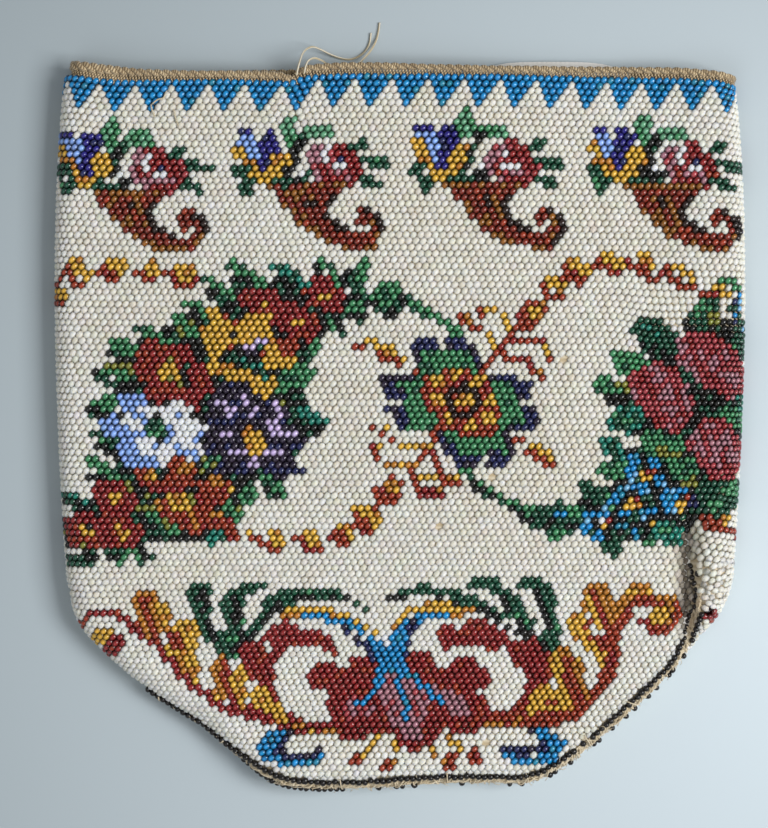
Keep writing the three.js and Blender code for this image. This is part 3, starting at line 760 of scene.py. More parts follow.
LEFT_BOUQUET = """
jet -66,70 -58,64.6 -49,60 -42,52 -34,53 -30,50 -24,54 -20,49 -14,51 -13,58 -16,62.6 -22,66 -26,72 -25,80
 -22,88 -26,92 -26,98.6 -36,99.6 -41.6,107.6 -41,113.4 -46,116 -56,116 -61,115.6 -65,117 -66,118 -71,118
 -74.4,117.6 -78,118.6 -83,117.6 -84,111 -77,109 -76.4,102 -70,98 -69.6,90 -71,86 -66,78
jade band 2.2 -48,50.8 -44.5,52.6 -41,55.6
jet band 2.6 -47.4,53.6 -45.4,55.6 -41.6,57.8
jade band 2.2 -53.8,56 -51,57.4 -48.3,59.6
jet band 2.4 -52,59.2 -49.4,61.8
jade -56.2,58.4 -53.4,60.4 -51.8,62.6 -50.8,65.8 -54,65 -57.2,61.6
olive beads -54.6,62.2 -54,63.8 -53,60.8
jet band 2 -58.6,62.6 -57,64.8 -54,66.6
jade band 2.2 -65,62.6 -62,64.2 -58.2,65.8
jet band 1.3 -64.4,65.8 -61,66.2
jade -73.2,65.2 -69,64.8 -65.8,67.8 -66.2,70 -69,69.2 -72.4,68.4
jet band 1.6 -72,69.2 -69,70.4 -65.4,70.8
olive band 1.5 -74,71.8 -69,72 -67.4,73
jade band 1.8 -75.8,73.4 -70,74.4 -65.4,76
jet band 2 -77,73.6 -74.4,75.6 -71.4,77.6 -66,77.8
jade -77,82 -73.4,79.8 -69.8,79.8 -70.2,82.6 -74.4,82.8
jet band 2 -77.4,83.4 -74.4,84.4 -69.8,84.4
bottle band 2.4 -76.6,89 -72.6,91 -70.4,91.6
jet band 2 -76.2,92 -72.6,93.6 -70.4,95.6
jade band 2.4 -77,96 -74,98 -70.4,99.6
jet band 1.5 -77,100 -72.4,101
teal band 2 -85.4,104.4 -80.6,105.6 -77,107.8
jet band 1.8 -83,106.2 -79.2,108 -77,109.2
ruby -65.4,66.4 -60,65.8 -58.8,71 -60.4,74 -62,76 -65,75.8 -66.6,73 / -58.6,67 -52.8,66.6 -52,70.8
 -54.8,72.2 -58.4,71.2 / -53,72.4 -50,71.8 -46.6,76 -46.8,78.6 -48.6,79.6 -52.4,76.4 / -63.6,77 -58,76.8
 -54,77.4 -53.6,79.8 -59.8,79.8 -60.8,82 -63,79.8 / -53.6,78.4 -51,78.4 -49.6,81 -51.4,84 -53.2,81
rust band 1.4 -64,68.6 -63,74.6 / -60.6,67.6 -60.2,72 / -57,68.4 -55,70.6 / -51.6,73.6 -48.6,77.6 / -62,78.6
 -55,78.8
mustard -60,72.2 -57,72 -54.4,74.6 -54.4,76.8 -56.6,76.4 -59.4,75
olive beads -57.8,71.4 -54.2,76.4 -58,74.8
mustard -51.2,63.2 -46.6,62.8 -43,63 -41.4,66.4 -44.4,69 -47.8,69 -49.6,65.6 / -47.8,57.8 -45,58.4 -43.2,60
 -41.8,63.6 -46.2,63.8 / -39.2,60 -33.6,58.8 -32,60.4 -32.4,65.2 -36,66.4 -41,66.4 -41,63 / -34.2,68.6
 -32.6,65.8 -30.6,67.8 -25.6,69.6 -25.8,72 -29,73.2 -33.6,73 / -47.8,70.4 -43,71.8 -38.6,73.4 -35,76
 -33,73.6 -30.8,78 -32.8,80.4 -36.6,78.8 -40,75.8 -44.6,74.8 -47.2,74.2
violet spot 2 0.9 -37,69.6
teal spot 1.4 1.2 -42.6,70.6
teal beads -38.6,71
teal band 1.6 -37,71.4 -34.6,73 -34,76
lilac band 1.3 -35.3,66.3 -33.3,66.5 / -38.6,68 -36.6,68
rust beads -42,68.2 -34.2,68.4 -43.6,59.2 -41,61
ruby -39.8,54 -36.6,52.4 -33.6,53 -29.4,54.4 -29.6,58 -32,59 -36.4,58 -39.6,57
mustard spot 1.5 1.3 -33.9,56.5
ruby -32.4,58.6 -29,56.8 -24,57 -21.4,60 -20,64 -22.4,66 -27.6,64 -31.6,61.6
mustard spot 1.5 1.3 -25.7,61.2
ruby -24.8,53 -20.4,50 -16.6,50.6 -13.4,54.4 -13.4,58.6 -17,59.6 -19.4,57.6 -23,56.6
mustard spot 1.5 1.3 -19,55
jade band 2.4 -42.6,46.8 -39,48.6 -33.4,52
jet band 2 -41,50 -37.4,51.6
teal band 2.6 -31.6,47.2 -27.6,48.8 -24.4,52
jet band 3 -31,50.6 -28.4,53.6 -25,55.6
teal beads -22.6,51.4
jet spot 1.6 1.5 -20,48
jade band 1.8 -19.4,46.4 -17,48.6 -15.4,52.6
jet band 2 -14.6,51 -12.4,48.4
jade band 3 -9.6,47.2 -10,52 -10.8,55
bottle band 1.6 -12,49 -12,53
jet band 1.8 -13,56 -8,55.6
jade spot 2.2 1.8 -11,58
jet band 1.8 -13.4,59.6 -9.4,60.6
jet band 2.4 -20,60 -17.6,62.4 -15,63.4
jade beads -16.6,62.4 -18.2,61.2
jet band 2 -25,66.6 -22.6,69.6
jade spot 2.2 2 -21.4,67.6
rust -30.2,65.8 -25.4,65.8 -26.4,69 -28.6,69
jade band 2.2 -29,73.8 -25,72.8 -22.6,73.4
jade band 2.8 -29.4,77.6 -24,75.6
jet band 2.2 -28,79.4 -24.4,80.6
olive band 1.4 -29.6,82.2 -24,83
teal band 2.6 -29,83.6 -23,84.2 -19.4,86.6
jet band 2.2 -29,87.6 -20.4,88.2
violet -47.6,80 -44,76.4 -38,77 -34,81 -29,82.6 -28,86.4 -24,91 -25,93.4 -30.6,93.8 -25.4,97 -24.4,99.6
 -31,99.8 -36,97.6 -41,99.4 -47,98.6 -48.4,92 -48.4,85
navy band 1.4 -47.6,86 -39,86.4 / -47.4,92.4 -40,92.6 / -33,92.6 -25,92.6 / -46.6,98.4 -37,98.6 / -31.6,98.8
 -25,98.8 / -41,81 -40.6,84
mustard -39.8,89 -38.2,87.4 -35,88.4 -33.4,91 -33,93.4 -34,95 -37.2,95.2 -37.6,92.4 -39.6,91.6
amber band 1.3 -39,89.2 -38,88.2 -36.2,88.6
lilac band 1.4 -39,79.6 -38.6,82
lilac band 1.6 -46.8,82 -44,81.8 -43,83.4 -41.2,83.4
lilac beads -43.2,84.8 -33.4,86.6
lilac band 1.4 -36.2,83 -37.8,85
lilac band 1.7 -31.6,82 -29.4,84 -31.6,86.4 -31.2,89.4 -27,89.6
lilac band 1.4 -44.8,89.4 -42.8,89.4 / -43.2,94 -39.4,94 / -32.8,94 -28.8,94.2
lilac spot 1.5 1.2 -36.6,96.5
sky -70.4,78.8 -66,78.8 -63.8,81 -62.4,84.6 -64.8,87 -68.2,85 -70.2,82 / -75.4,86.4 -73,84.8 -69,85 -65,87.4
 -64,89.2 -66,90 -72,89.4 -74.8,88.4
milk band 1.4 -65.2,82.7 -61.2,82.5
milk band 1.5 -69.2,86 -65.4,85.9
milk beads -68.2,84.2 -62.5,84.2 -66.7,87.5 -65,87.4
milk -60,83.2 -57.6,81.6 -55,81 -52.6,83.2 -53.2,85.4 -57,86.6 -60,85.6
sky beads -54.7,85.1 -53,85.2 -57.7,87 -56,87 -60.3,85.6
milk -57,87 -51,85.8 -48,88 -49.6,90.4 -57.4,90.6
sky band 1.4 -57.8,88.6 -56.6,90.2 -49.6,90
bottle spot 3 2.4 -61.4,88
jade beads -61.6,89.2 -63,88.8 -60.4,87.4
milk -61.6,92.6 -57,90.8 -52.4,90.8 -49.8,93 -50.4,95.4 -54,95 -57,97.6 -61,96
sky band 1.4 -54.6,94.4 -50.2,94.6 -51.6,96.2
sky beads -58.4,91.6 -56.2,93 -62,94.6 -62.2,96.4 -60.4,96.4
sky -70.8,91.6 -67,90.2 -62.4,90.2 -60.8,92.6 -61.8,96.4 -65,97.4 -69.4,97.6
milk -67,90.4 -62,90 -62.6,93.6 -65.6,94
ruby -76.6,102 -73.6,100.8 -69.4,100.8 -66.4,103.4 -65.8,106.6 -68.4,108.8 -75.6,108.4
mustard spot 1.7 1.8 -71.8,105.2
ruby -83.6,110.6 -80,109.2 -76,109.8 -73.8,112 -73.8,117.6 -78.4,118.2 -82.6,116.6 -83.2,113
mustard beads -79,112.3 -78.6,114 -77,114
jet beads -77.2,112.6 -68.8,112.4
rust band 1.4 -82,115.6 -75,116.4
olive beads -83.6,114 -80,117.6
ruby -74.2,109 -68,108.6 -66.4,111.4 -64.8,113.6 -65.8,117.2 -71.4,118 -73.6,115
mustard beads -70.7,112.3 -70.3,113.8 -68.3,113.8 -69.2,115
rust -65.8,98 -62.6,97.4 -60,98.8 -57.6,99 -58.2,97 -56.6,94.4 -54,94.8 -51.8,97 -51.4,100.6 -53.8,103.4
 -57,103.8 -62,103.6 -65.2,101.6
amber spot 2.2 1.4 -62,99.8
amber spot 1.8 2.4 -53.8,97.6
jet band 1.2 -60.8,98.4 -59.4,99.6
ruby band 1.4 -62,102.6 -54,102.6
amber -62.4,105.6 -57,104.6 -52.4,103.8 -51.6,106.6 -53,109.2 -57.4,110.8 -60.8,109.2
mustard spot 2.2 2.2 -54.4,106.6
olive beads -52.6,104.2 -63.4,104.6 -52.2,105.8
rust beads -59.5,107 -57.7,107.2 -58.6,108.6
rust -50.4,101.6 -47.4,100.8 -45,99.8 -42.2,102.4 -44.4,106 -47,107.6 -48,109.6 -51,108
amber spot 1.8 1.1 -46,100.6
amber beads -42.6,103.2 -44.2,101.6
rust -60,109 -55,109.6 -51,108.4 -49.2,112 -50.4,114.8 -53.6,113.2 -57.6,111.2
amber band 1.5 -51.8,110 -50,112.8
rust -49.2,109.2 -45.4,108.6 -42.8,110.4 -41.8,113.6 -39.8,116 -43,115.8 -46.6,113.2 -48.2,111.6
amber spot 2 1 -46,109.6
olive spot 1.2 1.9 -68,102.6
olive band 1.5 -66,107.4 -62.6,108 -60.4,110.2 -57.4,112.8
jade beads -63.6,108.8 -61.8,109.2 -60.2,111.2
jade spot 1.9 1.8 -56.2,113.6
teal spot 2.2 2 -46.6,115
jade spot 2.5 2 -47.4,96
olive beads -48.4,95.4 -47,97.2 -49.2,98 -43,106.4 -41.2,107.6
jade band 2.2 -43.6,107 -40.4,110
jade spot 2.3 3 -37.8,104.6
jade band 2.6 -34.4,100.6 -31.4,102 -29.4,104.6
jet band 1.3 -33.6,103.6 -31,105.2
bottle -83,119 -80,119.4 -79,121 -80.6,123.2 -82.6,122
jet -80,117.6 -76,117.6 -75.6,120.6 -77.6,122.4 -79.6,121
jade -73,117.6 -69.6,117.4 -68.4,121 -69.6,122.4 -71.4,121
jet band 1.8 -74,118.4 -71.6,120.6
jade band 2 -67,118.4 -65,120.6
jet band 2 -65.4,117.4 -63,119.8
"""

MEDALLION = """
navy 2.5,67.5 4,65.3 8,65.2 9.8,67 9.5,70 7,69 4,70 / 11,65.5 15.5,65 17,67.5 14.5,70 12,69.8 / -4.8,76.5
 -2,75.5 -1.5,77.5 1,79 0.5,81 -3,81 -4.5,79 / -3,83 2,82.8 2.5,85 2,88.5 0,88.3 -1.5,86 / 28.5,76 32,76
 33,80.5 29.5,80 28.5,78.5 / 30,82 33.5,82.5 35,85.5 33.5,88 26,88 26.5,86.8 31.5,86.3 30.5,84 / 10.2,88.5
 12.3,91.5 14.5,94.8 17,93.5 19.5,95 20,97.8 15.5,97.8 12.5,95 10.5,91 / 21.5,93.5 25.5,93.5 27.5,96
 26.5,97.8 22,97 21,95
navy band 1.3 3,69 4.5,72 5.7,74.5 / 22,74.7 29.5,74.7
violet band 1.2 16.5,66 18.5,70 20,74 / -4,75 5,75 / 1.5,88.2 8.5,88.2 / 25,88 28,94
jade 5.5,69 9,68.5 10.5,70 12,69 16.5,68.5 18,71 19,74 15,74.5 10.5,72.5 9,75 6,75 5,72 / -1.5,76 4.5,75.5
 6,78 5,80 5.5,82.5 8.5,85 8.8,87.5 2,87.5 2.5,83.5 0.5,82 1.5,80 1,78.5 / 21.5,76 28.5,76 28,78.5 27,80
 30,81.5 29,83.5 31.5,86 26,86.5 25,83 24.5,80.5 22.5,78 / 12,88.5 15,88.7 16.5,90 22,90 21.5,88.5 24.5,88.8
 26,92 24,93.5 20,92.5 20.5,94 15,94.5 13.5,91.5
jade beads 11.4,69 27,79.7 28.3,79.6 25.2,86 25.7,87.6 11.8,89.2 12.3,90 26.2,93.8
chalk beads 20.9,96 20.6,97.6
rust 5.5,75.5 10,75 11,73 15,73.5 20.5,74.5 22,77.5 23.5,79.5 25,82 24.5,85 25,88 21,90 16.5,90 15,88.5
 9.5,88 9,84.5 6.5,82 5.7,79
mustard spot 2 1.4 9.5,76.3 13.5,74.4 19.4,76 9.3,81 22.8,81 12.5,85 22.2,85 17.8,87.4
umber spot 4.8 4.3 15.7,81
rust spot 3.3 2.8 15.9,81.1
mustard spot 2.2 1.6 16,81
rust band 1.7 -10.7,66.7 -9.7,68.2
mustard band 1.6 -8.8,66.3 -6,66.8
mustard -5,67.5 -2,67.8 -1.5,69.5 -4,69
rust band 1.6 -6,69 -3,70.5 0.5,72.3
amber beads 0.5,70.7 31,90.5
rust beads 3.3,73.5 29,90 30,91.3
mustard 32.5,91.5 35.5,91.5 37,94 38.5,95 36,95.5 34,93.5
rust band 1.6 32,93.5 34,95 37,97 38.5,96.5 / 19.8,57.5 20.5,59 23,58.5
mustard beads 21.7,57.5 23.3,57.5
rust band 1.6 15,60.5 17,62 19.5,62.5
amber beads 17,60.5 18,61
mustard band 1.3 25.5,59.3 26.5,61.5 27,64 / 21.7,64 22.5,66.5 23.3,68
rust 33,56.5 35.5,55.7 36.5,58 35,61 32,63.3 29.5,61.5 30,58
mustard beads 34.8,56.3 32,58 33.7,58.3 33,59.5 34.5,59.8
rust band 1.4 29.5,62.5 28.5,64 27,65.5 26,67 24.5,69 22.5,71.5 21,73.3 / 28,65.3 35,65.7 / 25,69.7 32,70.3
rust beads 35.8,68.3
mustard beads 36.7,67 37.5,68.5
rust band 1.3 36.3,70 38,70.5
rust band 1.6 32.8,72 34,74 36,75
amber beads 35.5,73
rust beads -6.3,88 -4.5,89.8 -3,90.8
mustard beads -4,88.2
rust beads -7.3,92.5 -6,94.3 -6.2,95.8
mustard beads -5.5,92.7
mustard band 1.3 -0.5,92.7 7,92.5
rust beads 5.8,93.7 4.8,95
rust band 1.4 7.5,93.5 8.5,95.5 9.3,97.5
ruby beads 8,91 9,89.5
amber band 1.3 -4.3,97 3.5,97.2
rust band 1.8 2.5,98.7 3.2,100.5 4,103
mustard band 1.3 5,100 8.5,100.2
rust beads 9.7,98.5
rust band 1.4 10.5,99.7 12,101.5 14.5,102
mustard beads 13.7,99.7
amber beads 12,99.7 9.3,103
ruby band 1.8 6,104.8 7.5,103.3 9.5,104.8
"""

STEMS = """
jade -7,54.6 -4.6,51.6 -1.6,51.4 0.6,53.2 0.4,56 -2,57.4 -5,57
jet band 2.2 -10,55.4 -6,57.6 -2.6,59.2
jet band 1.6 -1,58 1.2,55.4
jade band 2 2,56 6,58 9.6,60.2 12.4,62.4 14.6,64.4
jet band 1.4 2.6,57.8 6.4,59.8
jade band 2 15.6,97.6 18,100.6 21,102.8 25.6,105.6 31,108.2
jet band 1.5 18.6,102.2 23,104.8 27.4,107.4
jade 29,107.4 32.4,106.6 35.4,108.8 36.6,111 33,110.4
jet band 1.8 30.4,110.2 34,112.2 39,112.8
"""

RIGHT_BOUQUET = """
mustard 36,50 39,50 41.5,52.5 41.3,54.5 39,53.5 37.5,51.5
rust 35,51.7 36.5,52.5 38.5,54.5 41,55 40.3,56.5 36,55.5 35.5,53.5
rust beads 40.3,50.5
mustard 41.5,45.7 45,45.5 47.5,48 47.5,50 45.5,49 44.5,47.5 42.5,47.5
rust 40.5,47.5 42.5,48 44.5,49.5 47,50.5 44,52.3 42,50
mustard 50,44 53,43.8 55.7,46 55.5,48.3 53,47 51,46.2
rust band 1.8 48,48 49.8,46.5 52,48 54,49.3
ruby beads 56.3,46.2 58,47 65.5,48.3
mustard 58.7,44.2 61.5,44 64.5,46.7 64,48.5 61.5,47.5 60,46
rust band 1.8 58.5,47.5 60.5,47.8 61.5,49.5 63.5,50
mustard 68,46.8 70.5,46.5 73,48.5 73,50.5 71,50 69.5,48
rust band 1.8 66.5,48.3 68.5,50 70.5,51.7 73.5,52.3
mustard 77,51.2 79.5,51 80,52.5 83,53 82,55.5 80,55.5 79.5,53.5
rust 75.5,54.5 77.5,53 79,53.5 79.3,55.3 76,55.5
jet 54,95.4 58,93 66,93 74,93 76,98 75.6,109 71,114.4 66,112 60,115.4 53,116.4 47,114.4 43.4,110 46,105
 52,102.4 56,100
jet band 3.4 69,71 72.4,76 76,81 / 59.5,81 63,86.6 67.4,89.6 72,89.6 74.8,96 77.4,101.4
jet band 2.6 83,84.6 85.8,89.6
jet 72,76.6 78,78.6 84,80.4 85.6,84 81,82.8 77.4,84.8 74.4,86.6 72.4,89.6 70.6,88.6 73.4,84
jade band 1.8 79.6,50.2 82,51.2 84.6,52
bottle 71.6,59.6 74.6,55.8 78.6,55.8 80.4,58.6 80,62 77,63.4 73,63.4
jade 73,58 75.6,56 78.6,57 78.2,59.6 75,60.4
olive 77.8,59.4 80.2,58.4 80.4,61.4 78,62.4
jet band 1.8 71.4,61.8 73.6,63.8 77,64.4
jet 78,62.6 82,60 84.4,60.4 86,66 86,71 83.4,69 80.6,65.6
bottle band 2.6 83.4,57 84.8,62 84.6,68
cerulean beads 84.6,53.6 85.2,57.6 84.2,60
azure beads 85,55.4 84.4,58 85.4,63
navy beads 84,56.4 83.6,61.4
bottle 57.6,62.6 60.4,60.2 63.4,60 66.6,62.6 69.2,65 69,72.4 66,68.4 62,66.6
teal band 1.6 61.4,62.4 65.4,64.6
jet 60.4,66.8 63.4,66.6 67,68.6 69.6,72.6 67.4,73 63,70.4
jade 52.6,69.2 57,68.8 60.6,70 62,71.4 58.6,73.4 57,75.4 54.6,74.6 53.6,72 / 48.2,77.2 50.4,75.2 54,75.8
 58,76.2 58.4,79.2 54,79 50,79.2
olive band 1.6 54.4,77 57.6,77.8
jet 50.6,80.2 54,79.6 57.4,80 59,82.4 55,82 52.6,82
teal 51.2,86 53.6,83 57,82.2 60.6,83.6 61,86.4 58,89 54,88.4
jade band 1.6 54,85 58,86
jet 58.6,88.8 61,86.8 64,88.4 61,90.2
rose 57.5,75 60,73 63,71.5 67,72 70,74 71.5,78 73.5,82 72,86 69,89 65,87.5 61.5,84 58.5,80
pink spot 2.2 1.2 63.4,73.4
pink band 4.2 64.6,75.4 66,79 67,82.4
pink band 2.2 70.6,76.8 71.8,82.4
pink spot 1.6 1 70.4,86
pink beads 58.8,78.2 59,79.6 67.6,86.8
rose 69,66.5 72,64 77,64 81,65.5 84,69 86,74 86,79 82,79.5 77,77.5 73,74.5 70.5,71
pink band 3 70.4,66 71,70 72,72.4
pink band 2.2 74.4,66.4 75.6,70.2 / 73,72.6 74.8,76
pink band 3.2 77.4,70.6 80,72.2 83,75
pink band 1.8 79.4,67 82,70.4
pink beads 83.6,77.2 82,78.2
pink band 1.4 82.4,79.8 84.2,80
teal band 1.6 85.2,80 85.6,83
rose 71.5,91 74,88 76,85.5 80.5,85 83,88 85.5,92 85.5,96 83,100.5 77.5,100.5 74.5,96
pink band 3 73.6,90 75.2,94.4
pink band 2.8 77,87.4 78.6,92 79.8,97.4
pink band 2.4 81.4,89 83.2,95
jade 79,82 83,82.4 85.8,85 85.4,88.6 82.4,86.4 80,84.4 / 59.6,91 62.6,88.4 67,89.2 71.4,90.4 71.4,93.4 67,95
 61.6,94
olive band 1.6 64,93.4 69,94.2
teal 50.4,89.8 53.6,90.6 56,93.4 55.6,95.6 52,94.8
jade 49.4,98.6 52,95.8 56.6,95.6 57,99 53,100.6
bottle 44.6,101.6 47.6,102 51.6,104.6 51.6,107 48,106.6 45.6,104.4
jade 51,105 54,104.2 55,107 52,108
bottle 35,108 40,106.4 45.4,107.6 46,111 41.4,114.6 38,115.6 36.4,113 33,111
jade spot 2.2 1.6 43,108.4
jade spot 1.7 1.6 39.6,114.4
jet band 2 37,111.6 44,112.6
cerulean spot 1.2 1 40,109.2
jade 67.4,96 71,95 74.4,96.6 75,99.4 71,100.4 68.4,98.6
olive 70,100.6 74.6,100.4 74.8,102.4 71,102.4
bottle 74.6,100.8 80,101.2 85.6,100.4 85.8,105 82,108.6 78,110 75,106
jade spot 2.2 2.2 82.6,103
jade spot 2 1.8 78,107
teal 62.4,111 66.4,110.4 70.4,113.4 70,116.6 66,117 63.4,114.6
jade spot 1.6 1.2 66,113
bottle 50.4,116 55.6,116 55.4,119 53,120 51,118.6
jade spot 1.8 1.4 61.6,116.6
cerulean spot 1.9 1.6 58.4,95.6 65,100.6
cerulean spot 1.6 1.5 57.6,98.6 63.4,96.4
cerulean spot 2.2 1.2 60,102.6
azure beads 57.4,101 59,99.8 66.6,102.4
mustard spot 2.2 1.7 61.4,99.9
rust beads 62.8,98.4 61.6,98.6
cerulean spot 1.7 1.5 55,104.4 53.8,106.2 56,109 62,108.6
azure beads 61.2,103.8 61,109.8 57.2,103.2
mustard spot 2.1 1.7 58.2,106.6
rust beads 59.4,105 58.6,105.2
cerulean spot 1.9 1.6 67.4,104.4 66.8,107
cerulean spot 1.7 1.2 70.4,103
azure beads 68.6,102.6 69,109
navy spot 1.5 1.4 74,106.2
mustard spot 1.7 1.6 70.2,106.8
rust beads 71.4,105.4
cerulean spot 1.9 1 46.6,109.8
cerulean spot 1.9 1.2 46.8,112.8 56,109.4
cerulean spot 1.6 1.3 50.6,109.2 54.8,112.4 49.6,114.8
azure beads 51.4,108.4 47.4,111.2
milk beads 50,110.8
mustard spot 1.6 1.2 51,112.6
rust beads 52.2,111.2
cerulean spot 1 1.2 59.2,114.2
mustard beads 62.6,112
bottle beads 63.2,115 62.6,115.4
rust 75,109.4 77.6,109 80,111.4 80.2,113 76,112.8
mustard spot 1.3 1.3 81,110.5
rust band 1.5 82,113 84,114.5 85,117
"""

